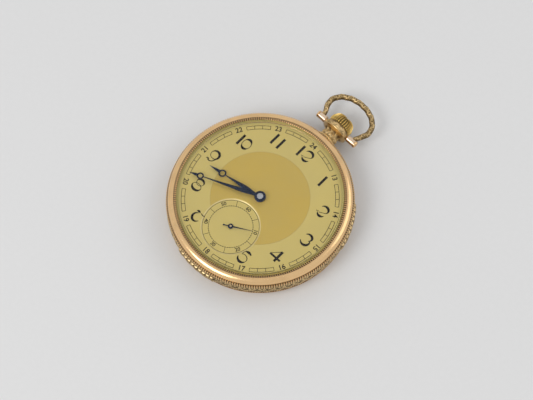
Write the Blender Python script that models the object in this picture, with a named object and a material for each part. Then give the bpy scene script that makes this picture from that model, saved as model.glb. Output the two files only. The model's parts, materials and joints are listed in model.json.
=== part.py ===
"""Open face pocket watch: case, pendant, bow, crown, dial, hands and lever movement.

Frame: +Z out of the dial, +Y to 12 o'clock (the pendant), origin on the hand arbor's axis at the
flat middle of the case back.  Sizes below are millimetres, and every mesh is built in metres.
"""
import math

import bmesh
import bpy

MM = 0.001                       # metres in one of this file's millimetres

# ---- driving dimensions (mm) -------------------------------------------------------------
CASE_RADIUS = 22.35              # outside of the engraved band
CASE_WALL = 2.2                  # band's outside to the bore the movement drops into
BACK_WALL = 0.45                 # back cover's sheet at its flat middle
BACK_FLAT_RADIUS = 13.5          # flat disc the watch rests on
BACK_DEPTH = 2.6                 # flat back to the back cover's rim
BAND_HEIGHT = 3.5                # band between the back cover and the bezel
BEZEL_HEIGHT = 2.17              # bezel's foot to its highest line
BEZEL_INNER_RADIUS = 19.8        # edge of the bezel round the crystal
CRYSTAL_RISE = 1.0               # crystal's middle above the bezel's highest line
CRYSTAL_THICKNESS = 0.57

MOVEMENT_SPACE = 2.4             # bridges to main plate, where the wheels run
PLATE_THICKNESS = 1.15
BRIDGE_THICKNESS = 0.85
BRIDGE_OUTER_Z = 1.6             # bridges' outer face above the back's flat
DIAL_ROOM = 0.8                  # main plate to dial, where the motion work runs
DIAL_THICKNESS = 0.4

STEM_RADIUS = 0.75
STEM_Z = 3.9                     # stem, crown and bow axis above the back's flat
STEM_TRAVEL = 0.8                # pull from winding to setting
PENDANT_NECK_LENGTH = 2.85       # band to the foot of the pendant's head
PENDANT_NECK_RADIUS = 2.15
PENDANT_HEAD_RADIUS = 3.45
PENDANT_HEAD_LENGTH = 1.8
CROWN_RADIUS = 3.15
CROWN_HEIGHT = 2.8
CROWN_FLUTES = 22
BOW_HALF_WIDTH = 6.35            # bow's centre line at its widest
BOW_REACH = 8.85                 # pivot to the bow's centre line at its top
BOW_WIRE_RADIUS = 0.8
BOW_EYE_RADIUS = 0.87
BOW_SCREW_RADIUS = 0.42

SECONDS_RECESS = 7.05            # radius of the sunk seconds dial
RECESS_DEPTH = 0.18
HAND_THICKNESS = 0.12
CANNON_TUBE = 0.75               # outside radii of the two tubes that carry the hands
HOUR_TUBE = 1.1
HOUR_HAND_LENGTH = 14.6
MINUTE_HAND_LENGTH = 18.0
SECONDS_HAND_LENGTH = 5.3
HOUR_ANGLE = 260.6               # degrees clockwise from 12: eighteen minutes to nine
MINUTE_ANGLE = 247.0
SECONDS_ANGLE = 60.0

PIVOT = 0.25                     # radius of the train's arbors
BARREL_PIVOT = 0.6               # and of the other arbors and the screws
CENTRE_ARBOR = 0.45
BALANCE_PIVOT = 0.22
SCREW_SHANK = 0.42

SLIP = 0.05                      # turning or sliding fit, on the radius
SEAT = 0.1                       # face to face gap of seated pieces

# tooth counts
BARREL_TEETH, CENTRE_PINION = 80, 10
CENTRE_TEETH, THIRD_PINION = 80, 10
THIRD_TEETH, FOURTH_PINION = 75, 10
FOURTH_TEETH, ESCAPE_PINION = 80, 8
ESCAPE_TEETH = 15
RATCHET_TEETH, CROWN_WHEEL_TEETH, WINDING_TEETH = 50, 30, 20
CANNON_TEETH, MINUTE_TEETH, MINUTE_PINION, HOUR_TEETH, SETTING_TEETH = 12, 36, 10, 40, 19

# ---- derived plan of the case ------------------------------------------------------------
Z_BAND = BACK_DEPTH + SEAT                      # band's lower edge
Z_BAND_TOP = Z_BAND + BAND_HEIGHT
Z_BEZEL = Z_BAND_TOP + SEAT
Z_BEZEL_TOP = Z_BEZEL + BEZEL_HEIGHT
BORE_RADIUS = CASE_RADIUS - CASE_WALL           # upper bore, round plate rim and dial
NECK_RADIUS = BORE_RADIUS + 0.75                # outside of the lips the lids snap over
DIAL_RADIUS = BORE_RADIUS - 3 * SLIP
PLATE_RADIUS = DIAL_RADIUS - 0.5
LEDGE_RADIUS = PLATE_RADIUS + SEAT              # ledge that carries the movement
BRIDGE_RADIUS = PLATE_RADIUS - 0.6

# ---- derived heights of the movement -----------------------------------------------------
Z_BRIDGE = BRIDGE_OUTER_Z + BRIDGE_THICKNESS    # bridges' inner face
Z_PLATE = Z_BRIDGE + MOVEMENT_SPACE             # main plate's inner face
Z_PLATE_TOP = Z_PLATE + PLATE_THICKNESS
Z_DIAL = Z_PLATE_TOP + DIAL_ROOM
Z_DIAL_TOP = Z_DIAL + DIAL_THICKNESS
Z_HOUR_HAND = Z_DIAL_TOP + 0.55
Z_MINUTE_HAND = Z_DIAL_TOP + 0.9
Z_SECONDS = Z_DIAL_TOP + 0.12
Z_CANNON_TOP = Z_MINUTE_HAND + HAND_THICKNESS + 0.14
CRYSTAL_RADIUS = BORE_RADIUS - SLIP - 0.02
CRYSTAL_EDGE_Z = Z_DIAL_TOP + 0.27               # floor of the bezel's groove
LEVEL = MOVEMENT_SPACE / 2.4                    # the train's levels share the space evenly
Z_ARBOR_LOW = BRIDGE_OUTER_Z + 0.1              # back ends of the train's arbors
Z_ARBOR_HIGH = Z_PLATE_TOP - 0.3                # and their ends in the main plate


def level(height):
    """Height of a train level, given for the standard space above the bridges' inner face."""
    return Z_BRIDGE + height * LEVEL


# ---- derived plan of the movement (the calibre is drawn for a plate of 19.5) ---------------
UNIT = PLATE_RADIUS / 19.5


def meet(centre_a, radius_a, centre_b, radius_b, side):
    """Point at radius_a from centre_a and radius_b from centre_b; side picks which of the two."""
    dx, dy = centre_b[0] - centre_a[0], centre_b[1] - centre_a[1]
    gap = math.hypot(dx, dy)
    along = (radius_a ** 2 - radius_b ** 2 + gap ** 2) / (2 * gap)
    across = side * math.sqrt(max(radius_a ** 2 - along ** 2, 0.0))
    return (centre_a[0] + (along * dx - across * dy) / gap,
            centre_a[1] + (along * dy + across * dx) / gap)


def polar(centre, radius, degrees):
    angle = math.radians(degrees)
    return (centre[0] + radius * math.cos(angle), centre[1] + radius * math.sin(angle))


def bearing(start, end):
    return math.degrees(math.atan2(end[1] - start[1], end[0] - start[0]))


BARREL_PITCH = 7.6 * UNIT
CENTRE_PITCH = 6.6 * UNIT
THIRD_PITCH = 5.6 * UNIT
FOURTH_PITCH = 4.4 * UNIT
ESCAPE_RADIUS = 2.6 * UNIT
BALANCE_RADIUS = 6.0 * UNIT
CANNON_PITCH = 1.2 * UNIT
MINUTE_PITCH = CANNON_PITCH * MINUTE_TEETH / CANNON_TEETH
SETTING_PITCH = CANNON_PITCH * SETTING_TEETH / CANNON_TEETH
CENTRE = (0.0, 0.0)
BARREL = polar(CENTRE, BARREL_PITCH * (1 + CENTRE_PINION / BARREL_TEETH), 30.2)
FOURTH = (0.0, -9.95 * UNIT)
THIRD = meet(CENTRE, CENTRE_PITCH * (1 + THIRD_PINION / CENTRE_TEETH),
             FOURTH, THIRD_PITCH * (1 + FOURTH_PINION / THIRD_TEETH), 1)
ESCAPE = polar(FOURTH, FOURTH_PITCH * (1 + ESCAPE_PINION / FOURTH_TEETH), 150)
LINE_OF_CENTRES = 139.7                          # escape wheel to pallets to balance, degrees
FORK_REACH = 3.7 * UNIT                          # pallet arbor to balance staff
PALLET = polar(ESCAPE, ESCAPE_RADIUS / math.cos(math.radians(30)), LINE_OF_CENTRES)
BALANCE = polar(PALLET, FORK_REACH, LINE_OF_CENTRES)
CROWN_WHEEL = (0.0, 10.3 * UNIT)
WINDING_SPAN = math.dist(CROWN_WHEEL, BARREL)
CROWN_WHEEL_PITCH = WINDING_SPAN * CROWN_WHEEL_TEETH / (CROWN_WHEEL_TEETH + RATCHET_TEETH)
RATCHET_PITCH = WINDING_SPAN - CROWN_WHEEL_PITCH
WINDING_PITCH = CROWN_WHEEL_PITCH * WINDING_TEETH / CROWN_WHEEL_TEETH
SETTING = (0.0, 6.9 * UNIT)
MINUTE = meet(CENTRE, CANNON_PITCH + MINUTE_PITCH, SETTING, SETTING_PITCH + MINUTE_PITCH, 1)
HOUR_PITCH = math.dist(CENTRE, MINUTE) * HOUR_TEETH / (HOUR_TEETH + MINUTE_PINION)
MINUTE_PINION_PITCH = math.dist(CENTRE, MINUTE) - HOUR_PITCH

# stem line, along Y
PINION_START = CROWN_WHEEL[1] + CROWN_WHEEL_PITCH - 0.85
PINION_END = PINION_START + 1.6
CLUTCH_END = PINION_START - 0.5
CLUTCH_START = CLUTCH_END - 2.6
CLUTCH_RADIUS = 1.55
CLUTCH_SHARE = 0.9                               # clutch travel for each millimetre of stem
GROOVE_Y = PINION_END + 1.4                      # stem groove that the setting lever holds
HEAD_START = CASE_RADIUS + SEAT + PENDANT_NECK_LENGTH
HEAD_END = HEAD_START + PENDANT_HEAD_LENGTH
BOW_Y = HEAD_START + 0.66 * PENDANT_HEAD_LENGTH    # axis of the bow's two screws
CROWN_START = HEAD_END + SEAT
CROWN_END = CROWN_START + CROWN_HEIGHT
CROWN_HUB_RADIUS = 1.6
SPIGOT_RADIUS = 1.1                              # pendant's tube through the band
BOW_ARM_X = PENDANT_HEAD_RADIUS + 1.4            # middle of each bow arm's foot
BOW_SCREW_END = 2.3                              # inner end of each bow screw, from the middle
BOW_EYE_IN = PENDANT_HEAD_RADIUS + SEAT
BOW_EYE_OUT = BOW_ARM_X + BOW_WIRE_RADIUS + SLIP

# bridges, feet and screws
LEVER_PIVOT_X = 4.2                              # setting lever's screw, beside the stem
SETTING_POCKET_Z = Z_PLATE + 0.45                # floor of the setting work's pocket
DIAL_FEET = [polar(CENTRE, 17.1 * UNIT, turn) for turn in (142, -38)]
CASE_SCREWS = [polar(CENTRE, PLATE_RADIUS - 0.55, turn) for turn in (183, 3)]
BARREL_BRIDGE_SCREWS = [polar(CENTRE, BRIDGE_RADIUS - 1.05, turn) for turn in (62, 118, 160)]
TRAIN_BRIDGE_SCREWS = [polar(CENTRE, BRIDGE_RADIUS - 1.05, turn) for turn in (-28, -95)]
COCK_FOOT = polar(CENTRE, 16.7 * UNIT, 225)
PALLET_FEET = [polar(PALLET, 3.3 * UNIT, LINE_OF_CENTRES + side * 90) for side in (-1, 1)]
CLICK_PIVOT = polar(BARREL, 8.85 * UNIT, 42)
HAIRSPRING_TURN = bearing(BALANCE, COCK_FOOT) + 60
REGULATOR_TURN = bearing(COCK_FOOT, BALANCE) + 14
Z_RATCHET_TOP = BRIDGE_OUTER_Z - 0.45            # outer face of the winding wheels

# ---- finishes: base colour, metallic, roughness -------------------------------------------
ROSE_GOLD = ((0.80, 0.58, 0.40), 1.0, 0.25)
BAND_GOLD = ((0.74, 0.58, 0.36), 1.0, 0.35)
YELLOW_GOLD = ((0.78, 0.58, 0.25), 1.0, 0.3)
OLD_GOLD = ((0.60, 0.46, 0.28), 1.0, 0.35)
GLASS = ((0.95, 0.97, 0.96), 0.0, 0.05)
CHAMPAGNE = ((0.66, 0.55, 0.28), 0.3, 0.4)
BLUED_STEEL = ((0.01, 0.03, 0.09), 0.8, 0.3)
STEEL = ((0.55, 0.56, 0.58), 1.0, 0.3)
NICKEL = ((0.66, 0.65, 0.60), 1.0, 0.35)
BRASS = ((0.72, 0.55, 0.25), 1.0, 0.35)

ROUND = 32                       # sides of the case's large turned pieces
FINE = 24
SMALL = 8


# ---- shapes: each is (points, faces) in millimetres ----------------------------------------
def circle(radius, sides, centre=(0.0, 0.0)):
    return [(centre[0] + radius * math.cos(2 * math.pi * i / sides),
             centre[1] + radius * math.sin(2 * math.pi * i / sides)) for i in range(sides)]


def revolve(profile, sides, centre=(0.0, 0.0), flute=0.0):
    """Turn (radius, height) points about Z; ends at radius 0 become poles, else the loop closes.

    A flute depth moves every second side's points inwards, as a share of their radius.
    """
    points, rings = [], []
    for radius, height in profile:
        if radius == 0:
            rings.append([len(points)])
            points.append((centre[0], centre[1], height))
            continue
        first = len(points)
        for i in range(sides):
            reach = radius * (1 - flute * (i % 2))
            angle = 2 * math.pi * i / sides
            points.append((centre[0] + reach * math.cos(angle),
                           centre[1] + reach * math.sin(angle), height))
        rings.append(list(range(first, first + sides)))
    pairs = list(zip(rings, rings[1:]))
    if profile[0][0] > 0:
        pairs.append((rings[-1], rings[0]))
    faces = []
    for low, high in pairs:
        for i in range(sides):
            j = (i + 1) % sides
            if len(low) == 1:
                faces.append((low[0], high[i], high[j]))
            elif len(high) == 1:
                faces.append((low[j], low[i], high[0]))
            else:
                faces.append((low[i], low[j], high[j], high[i]))
    return points, faces


def drum(radius, z_low, z_high, sides=SMALL, centre=(0.0, 0.0)):
    return revolve([(0, z_low), (radius, z_low), (radius, z_high), (0, z_high)], sides, centre)


def ring(inner, outer, z_low, z_high, sides=FINE, centre=(0.0, 0.0)):
    corners = [(inner, z_low), (outer, z_low), (outer, z_high), (inner, z_high)]
    return revolve(corners, sides, centre)


def prism(outline, z_low, z_high, holes=()):
    """Straight-sided solid over a plan outline, with straight holes through it."""
    loops = [list(outline)] + [list(hole) for hole in holes]
    flat = bmesh.new()
    edges = []
    for loop in loops:
        corners = [flat.verts.new((x, y, 0)) for x, y in loop]
        edges += [flat.edges.new((a, b)) for a, b in zip(corners, corners[1:] + corners[:1])]
    flat.verts.index_update()
    bmesh.ops.triangle_fill(flat, use_beauty=True, use_dissolve=False, edges=edges)
    cap = [tuple(v.index for v in face.verts) for face in flat.faces]
    flat.free()
    plan = [point for loop in loops for point in loop]
    count = len(plan)
    points = [(x, y, z_low) for x, y in plan] + [(x, y, z_high) for x, y in plan]
    faces = [tuple(reversed(face)) for face in cap]
    faces += [tuple(i + count for i in face) for face in cap]
    first = 0
    for loop in loops:
        for i in range(len(loop)):
            a, b = first + i, first + (i + 1) % len(loop)
            faces.append((a, b, b + count, a + count))
        first += len(loop)
    return points, faces


def group(*shapes):
    """Several shapes that don't touch, as one cutter or one set of bosses."""
    points, faces = [], []
    for shape_points, shape_faces in shapes:
        first = len(points)
        points += shape_points
        faces += [tuple(i + first for i in face) for face in shape_faces]
    return points, faces


def along_y(shape):
    """Lay a shape that stands on Z down along +Y."""
    return [(x, z, -y) for x, y, z in shape[0]], shape[1]


def along_x(shape):
    return [(z, y, -x) for x, y, z in shape[0]], shape[1]


def moved(shape, dx, dy, dz=0.0):
    return [(x + dx, y + dy, z + dz) for x, y, z in shape[0]], shape[1]


def swung(outline, degrees):
    turn_cos, turn_sin = math.cos(math.radians(degrees)), math.sin(math.radians(degrees))
    return [(x * turn_cos - y * turn_sin, x * turn_sin + y * turn_cos) for x, y in outline]


def hull(circles, sides=16):
    """Convex outline round circles given as (centre, radius), for arms and cocks."""
    dots = sorted({(round(x, 6), round(y, 6))
                   for centre, radius in circles for x, y in circle(radius, sides, centre)})

    def half(run):
        kept = []
        for dot in run:
            while len(kept) > 1 and ((kept[-1][0] - kept[-2][0]) * (dot[1] - kept[-2][1])
                                     <= (kept[-1][1] - kept[-2][1]) * (dot[0] - kept[-2][0])):
                kept.pop()
            kept.append(dot)
        return kept[:-1]

    return half(dots) + half(dots[::-1])


def sector(inner, outer, start, stop, steps, centre=(0.0, 0.0)):
    turns = [start + (stop - start) * i / steps for i in range(steps + 1)]
    return ([polar(centre, outer, turn) for turn in turns]
            + [polar(centre, inner, turn) for turn in reversed(turns)])


def tooth_outline(teeth, pitch, depth=1.0):
    """Gear outline of pointed teeth, tip and root in turn; the first tooth points along +X."""
    module = 2 * pitch / teeth
    step = 360 / teeth
    outline = []
    for i in range(teeth):
        outline.append(polar((0, 0), pitch + 0.85 * module * depth, i * step))
        outline.append(polar((0, 0), pitch - 0.95 * module * depth, (i + 0.5) * step))
    return outline


def crossings(inner, outer, arms, arm_width):
    """Holes between a wheel's arms."""
    holes = []
    for i in range(arms):
        start, stop = 360 * i / arms, 360 * (i + 1) / arms
        inside = math.degrees(arm_width / 2 / inner)
        outside = math.degrees(arm_width / 2 / outer)
        far = [polar((0, 0), outer, start + outside + (stop - start - 2 * outside) * k / 4)
               for k in range(5)]
        near = [polar((0, 0), inner, stop - inside - (stop - start - 2 * inside) * k / 2)
                for k in range(3)]
        holes.append(far + near)
    return holes


def in_mesh(centre_a, teeth_a, turn_a, centre_b, teeth_b):
    """Turn of wheel b, in degrees, that puts a gap of it where wheel a has a tooth."""
    line = bearing(centre_a, centre_b)
    return line + 180 + 180 / teeth_b - (turn_a - line) * teeth_a / teeth_b


# ---- objects ---------------------------------------------------------------------------
def add(name, shape, finish=None, origin=(0.0, 0.0, 0.0), turn=0.0):
    """Make an object from a shape whose points are relative to origin, turned about Z."""
    points, faces = shape
    mesh = bpy.data.meshes.new(name)
    mesh.from_pydata([(x * MM, y * MM, z * MM) for x, y, z in points], [], faces)
    work = bmesh.new()
    work.from_mesh(mesh)
    bmesh.ops.recalc_face_normals(work, faces=work.faces)
    work.to_mesh(mesh)
    work.free()
    mesh.shade_smooth()
    mesh.set_sharp_from_angle(angle=math.radians(30))
    piece = bpy.data.objects.new(name, mesh)
    bpy.context.collection.objects.link(piece)
    piece.location = [value * MM for value in origin]
    piece.rotation_euler.z = math.radians(turn)
    if finish:
        colour, metallic, roughness = finish
        material = bpy.data.materials.new(name)
        material.use_nodes = True
        shader = material.node_tree.nodes["Principled BSDF"]
        shader.inputs["Base Color"].default_value = (*colour, 1.0)
        shader.inputs["Metallic"].default_value = metallic
        shader.inputs["Roughness"].default_value = roughness
        mesh.materials.append(material)
    return piece


def shape_with(piece, operation, shape):
    """Join a shape to a piece or cut it away; the shape is in the piece's own frame."""
    tool = add(f"{piece.name}_{operation.lower()}_{len(piece.modifiers) + 1}", shape)
    tool.location = piece.location
    tool.rotation_euler = piece.rotation_euler
    tool.hide_render = True
    tool.display_type = "WIRE"
    change = piece.modifiers.new(tool.name, "BOOLEAN")
    change.operation = operation
    change.solver = "EXACT"
    change.object = tool


def join(piece, *shapes):
    for shape in shapes:
        shape_with(piece, "UNION", shape)


def cut(piece, *shapes):
    for shape in shapes:
        shape_with(piece, "DIFFERENCE", shape)


def at(point, z=0.0):
    return (point[0], point[1], z)


def screw(name, point, z_head, head_radius, head, shank_radius, shank, finish=STEEL, turn=0.0):
    """Slotted screw, head towards the back, shank towards the dial."""
    body = revolve([(0, -head), (head_radius, -head), (head_radius, 0), (shank_radius, 0),
                    (shank_radius, shank), (0, shank)], SMALL)
    piece = add(name, body, finish, at(point, z_head), turn)
    slot = prism([(-2, -0.09), (2, -0.09), (2, 0.09), (-2, 0.09)], -head - 1, -head + 0.12)
    cut(piece, slot)


# ---- case ------------------------------------------------------------------------------
def make_case():
    band = revolve([
        (CASE_RADIUS - 0.3, Z_BAND), (CASE_RADIUS, Z_BAND + 0.4),
        (CASE_RADIUS, Z_BAND_TOP - 0.5), (CASE_RADIUS - 0.25, Z_BAND_TOP),
        (NECK_RADIUS, Z_BAND_TOP), (NECK_RADIUS, Z_BAND_TOP + 0.75),
        (BORE_RADIUS, Z_BAND_TOP + 0.75), (BORE_RADIUS, Z_PLATE + 0.75),
        (LEDGE_RADIUS, Z_PLATE + 0.75), (LEDGE_RADIUS, Z_PLATE + 0.15),
        (BORE_RADIUS, Z_PLATE + 0.15), (BORE_RADIUS, Z_BAND - 0.75),
        (NECK_RADIUS, Z_BAND - 0.75), (NECK_RADIUS, Z_BAND)], ROUND)
    middle = add("case_middle", band, BAND_GOLD)
    cut(middle, moved(along_y(drum(SPIGOT_RADIUS + SLIP, BORE_RADIUS - 0.2, CASE_RADIUS + 1, 16)),
                      0, 0, STEM_Z))

    lip = NECK_RADIUS + SLIP
    top = Z_BEZEL_TOP
    groove = CRYSTAL_EDGE_Z
    bezel = revolve([
        (lip, Z_BEZEL), (CASE_RADIUS - 0.2, Z_BEZEL), (CASE_RADIUS - 0.05, Z_BEZEL + 0.2),
        (CASE_RADIUS - 0.05, Z_BEZEL + 0.65), (CASE_RADIUS - 0.6, top - 0.92),
        (CASE_RADIUS - 1.15, top - 0.38), (BEZEL_INNER_RADIUS + 0.6, top),
        (BEZEL_INNER_RADIUS, top - 0.09), (BEZEL_INNER_RADIUS, groove + 0.48),
        (CRYSTAL_RADIUS + SLIP, groove + 0.48), (CRYSTAL_RADIUS + SLIP, groove),
        (CRYSTAL_RADIUS - 0.15, groove), (CRYSTAL_RADIUS - 0.15, Z_DIAL_TOP + 0.08),
        (BORE_RADIUS + 0.1, Z_DIAL_TOP + 0.08), (BORE_RADIUS + 0.1, Z_BAND_TOP + 0.85),
        (lip, Z_BAND_TOP + 0.85)], ROUND)
    add("bezel", bezel, ROSE_GOLD)

    back = revolve([
        (0, 0), (BACK_FLAT_RADIUS, 0), (CASE_RADIUS - 4.85, 0.11 * BACK_DEPTH),
        (CASE_RADIUS - 2.35, 0.33 * BACK_DEPTH), (CASE_RADIUS - 0.95, 0.6 * BACK_DEPTH),
        (CASE_RADIUS - 0.3, BACK_DEPTH - 0.2), (CASE_RADIUS - 0.3, BACK_DEPTH),
        (lip, BACK_DEPTH), (lip, BACK_DEPTH - 0.8), (lip - 0.6, 0.33 * BACK_DEPTH + BACK_WALL + 0.1),
        (CASE_RADIUS - 4.4, 0.15 * BACK_DEPTH + BACK_WALL), (BACK_FLAT_RADIUS, BACK_WALL),
        (0, BACK_WALL)], ROUND)
    add("back_cover", back, ROSE_GOLD)


def make_crystal():
    """Low domed crystal whose rim lies in the bezel's groove."""
    peak = Z_BEZEL_TOP + CRYSTAL_RISE
    edge = BEZEL_INNER_RADIUS - SLIP - 0.03
    low = CRYSTAL_EDGE_Z + SLIP
    shoulder = Z_BEZEL_TOP + 0.15

    def dome(radius, crest, foot, reach):
        return crest - (crest - foot) * (radius / reach) ** 2

    outside = [(r, dome(r, peak, shoulder, edge - 0.4)) for r in (0, 0.55 * edge, edge - 0.4)]
    inner_reach = edge - 0.95
    inner_foot = shoulder - 0.38
    inside = [(r, dome(r, peak - CRYSTAL_THICKNESS, inner_foot, inner_reach))
              for r in (inner_reach, 0.55 * edge, 0)]
    outline = outside + [(edge, shoulder - 0.35), (edge, low + 0.38), (CRYSTAL_RADIUS, low + 0.38),
                         (CRYSTAL_RADIUS, low), (edge - 0.5, low)] + inside
    add("crystal", revolve(outline, ROUND), GLASS)


def make_pendant():
    bore = STEM_RADIUS + 0.15
    seat = CASE_RADIUS + SEAT
    neck = PENDANT_NECK_RADIUS
    head = PENDANT_HEAD_RADIUS
    profile = [
        (bore, BORE_RADIUS + 0.45), (SPIGOT_RADIUS, BORE_RADIUS + 0.45), (SPIGOT_RADIUS, seat),
        (neck + 0.6, seat), (neck + 0.6, seat + 0.3), (neck + 0.05, seat + 0.85),
        (neck, HEAD_START - 1.0), (neck + 0.45, HEAD_START - 0.5), (head - 0.15, HEAD_START),
        (head, HEAD_START + 0.3), (head, HEAD_END - 0.35), (head - 0.15, HEAD_END),
        (CROWN_HUB_RADIUS + 0.15, HEAD_END), (CROWN_HUB_RADIUS + 0.15, HEAD_END - 0.95),
        (bore, HEAD_END - 0.95)]
    pendant = add("pendant", along_y(revolve(profile, FINE)), OLD_GOLD, (0, 0, STEM_Z))
    drills = [moved(along_x(drum(BOW_SCREW_RADIUS + SLIP, *span)), 0, BOW_Y)
              for span in ((BOW_SCREW_END - 0.15, head + 1), (-head - 1, -BOW_SCREW_END + 0.15))]
    cut(pendant, group(*drills))


def make_bow():
    """Oval wire bow with an eye at each end, hinged on two screws in the pendant's head."""
    centre_y = 0.5 * BOW_REACH                    # oval's middle, above the pivot
    half_height = BOW_REACH - centre_y
    start = math.asin(-0.62)
    steps = 22
    path = []
    for i in range(steps + 1):
        angle = start + (math.pi - 2 * start) * i / steps
        path.append((BOW_HALF_WIDTH * math.cos(angle), centre_y + half_height * math.sin(angle)))
    path = [(BOW_ARM_X, 0.25)] + path + [(-BOW_ARM_X, 0.25)]
    points, faces, sides = [], [], 8
    for i, (x, y) in enumerate(path):
        before, after = path[max(i - 1, 0)], path[min(i + 1, len(path) - 1)]
        run = math.atan2(after[1] - before[1], after[0] - before[0])
        for k in range(sides):
            angle = 2 * math.pi * (k + 0.5) / sides
            across = BOW_WIRE_RADIUS * math.cos(angle)
            points.append((x - across * math.sin(run), y + across * math.cos(run),
                           BOW_WIRE_RADIUS * math.sin(angle)))
    for i in range(len(path) - 1):
        for k in range(sides):
            a, b = i * sides + k, i * sides + (k + 1) % sides
            faces.append((a, b, b + sides, a + sides))
    faces += [tuple(range(sides)), tuple(range(len(points) - sides, len(points)))]
    bow = add("bow", (points, faces), OLD_GOLD, (0, BOW_Y, STEM_Z))
    eyes = [along_x(drum(BOW_EYE_RADIUS, *span, 12))
            for span in ((BOW_EYE_IN, BOW_EYE_OUT), (-BOW_EYE_OUT, -BOW_EYE_IN))]
    join(bow, group(*eyes))
    cut(bow, along_x(drum(BOW_SCREW_RADIUS + SLIP, -BOW_EYE_OUT - 1, BOW_EYE_OUT + 1)))

    head = BOW_EYE_OUT + SLIP
    profile = [(0, BOW_SCREW_END), (BOW_SCREW_RADIUS, BOW_SCREW_END), (BOW_SCREW_RADIUS, head),
               (BOW_EYE_RADIUS, head), (BOW_EYE_RADIUS, head + 0.33),
               (BOW_EYE_RADIUS - 0.12, head + 0.45), (0, head + 0.45)]
    mirrored = [(radius, -span) for radius, span in profile]
    add("bow_screw_right", along_x(revolve(profile, 12)), ROSE_GOLD, (0, BOW_Y, STEM_Z))
    add("bow_screw_left", along_x(revolve(mirrored, 12)), ROSE_GOLD, (0, BOW_Y, STEM_Z))


def make_crown():
    """Fluted dome crown on the stem; the stem carries the winding and sliding pinions."""
    start, end = CROWN_START, CROWN_END
    rim = CROWN_RADIUS
    outside = [(rim - 0.15, start), (rim, start + 0.9), (rim * 0.88, end - 0.6),
               (rim * 0.5, end - 0.1)]
    dome = revolve([(0, start)] + outside + [(0, end)], 2 * CROWN_FLUTES, flute=0.06)
    crown = add("crown", along_y(dome), YELLOW_GOLD, (0, 0, STEM_Z))
    join(crown, along_y(drum(CROWN_HUB_RADIUS, start - 0.9, start + 0.2, 20)))
    cut(crown, along_y(drum(0.5 + SLIP, start - 2, start + 0.75)))

    wide = STEM_RADIUS
    tail = CLUTCH_START - 0.7
    stem = [(0, tail), (0.4, tail), (0.4, tail + 0.8), (0.55, tail + 0.8),
            (0.55, PINION_START - 0.3), (0.7, PINION_START - 0.3), (0.7, GROOVE_Y - 0.3),
            (0.45, GROOVE_Y - 0.3), (0.45, GROOVE_Y + 0.3), (wide, GROOVE_Y + 0.3),
            (wide, start - 1.1), (0.5, start - 1.1), (0.5, start + 0.65), (0, start + 0.65)]
    add("stem", along_y(revolve(stem, SMALL)), STEEL, (0, 0, STEM_Z))


# ---- keyless work -------------------------------------------------------------------------
def make_keyless_work():
    teeth = prism(tooth_outline(WINDING_TEETH, WINDING_PITCH, 0.3), PINION_START, PINION_END,
                  [circle(0.7 + 2 * SLIP, 12)])
    add("winding_pinion", along_y(teeth), STEEL, (0, 0, STEM_Z))

    bore = 0.55 + SLIP
    reel = [(bore, CLUTCH_START), (CLUTCH_RADIUS, CLUTCH_START),
            (CLUTCH_RADIUS, CLUTCH_START + 1.0), (1.0, CLUTCH_START + 1.0),
            (1.0, CLUTCH_START + 1.75), (CLUTCH_RADIUS, CLUTCH_START + 1.75),
            (CLUTCH_RADIUS, CLUTCH_END), (bore, CLUTCH_END)]
    clutch = add("sliding_pinion", along_y(revolve(reel, 20)), STEEL, (0, 0, STEM_Z))
    castle = [moved(along_y(prism([(-2, -0.16), (2, -0.16), (2, 0.16), (-2, 0.16)], -0.35, 0.35)),
                    0, CLUTCH_START)]
    cut(clutch, *castle)

    lever_y = GROOVE_Y + STEM_TRAVEL / 2
    pivot = (LEVER_PIVOT_X, lever_y)
    pin = (STEM_RADIUS - LEVER_PIVOT_X, GROOVE_Y - lever_y)
    lever = add("setting_lever", prism(hull([((0, 0), 0.95), (pin, 0.42)]), 0, 0.3),
                STEEL, at(pivot, Z_PLATE_TOP + SLIP))
    join(lever, drum(0.22, STEM_Z - 0.35 - Z_PLATE_TOP, 0.15, 10, pin))
    cut(lever, drum(0.3, -1, 1))
    screw_head = Z_PLATE_TOP + SLIP + 0.3 + SLIP
    post = revolve([(0, Z_PLATE + 0.1 - screw_head), (0.25, Z_PLATE + 0.1 - screw_head), (0.25, 0),
                    (0.6, 0), (0.6, 0.25), (0, 0.25)], SMALL)
    add("setting_lever_screw", post, STEEL, at(pivot, screw_head))

    groove = CLUTCH_START + 1.375
    yoke_pivot = (-5.35 * UNIT, groove - CLUTCH_SHARE * STEM_TRAVEL / 2)
    tip = (-1.22 - yoke_pivot[0], groove - yoke_pivot[1])
    yoke = add("yoke", prism(hull([((0, 0), 0.8), (tip, 0.2)]), 0, 0.3),
               STEEL, at(yoke_pivot, STEM_Z - 0.15))
    join(yoke, drum(0.4, 0.1, Z_PLATE - STEM_Z + 0.1, 10))

    heel = (yoke_pivot[0] - 3.4, yoke_pivot[1] + 2.2)
    strip = [(heel[0] - 0.7, heel[1] - 0.7), (heel[0] + 0.7, heel[1] - 0.7),
             (heel[0] + 0.7, heel[1] + 0.3), (yoke_pivot[0] + 1.5, heel[1] - 0.35),
             (yoke_pivot[0] + 1.5, heel[1] - 0.15), (heel[0] + 0.7, heel[1] + 0.7),
             (heel[0] - 0.7, heel[1] + 0.7)]
    spring = add("yoke_spring", prism(strip, STEM_Z - 0.15, STEM_Z + 0.15), STEEL)
    join(spring, drum(0.45, STEM_Z, Z_PLATE - SLIP, 10, heel))


# ---- plates and bridges ---------------------------------------------------------------------
def keyless_rooms():
    """Room round the sliding pinion and the winding pinion, cut into plate and bridge alike."""
    clutch_room = along_y(drum(CLUTCH_RADIUS + 0.15, CLUTCH_START - STEM_TRAVEL - 0.2,
                               PINION_START - 0.1, 20))
    pinion_room = along_y(drum(WINDING_PITCH + 0.3, PINION_START - 0.15, PINION_END + 0.2, 24))
    return moved(clutch_room, 0, 0, STEM_Z), moved(pinion_room, 0, 0, STEM_Z)


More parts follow.
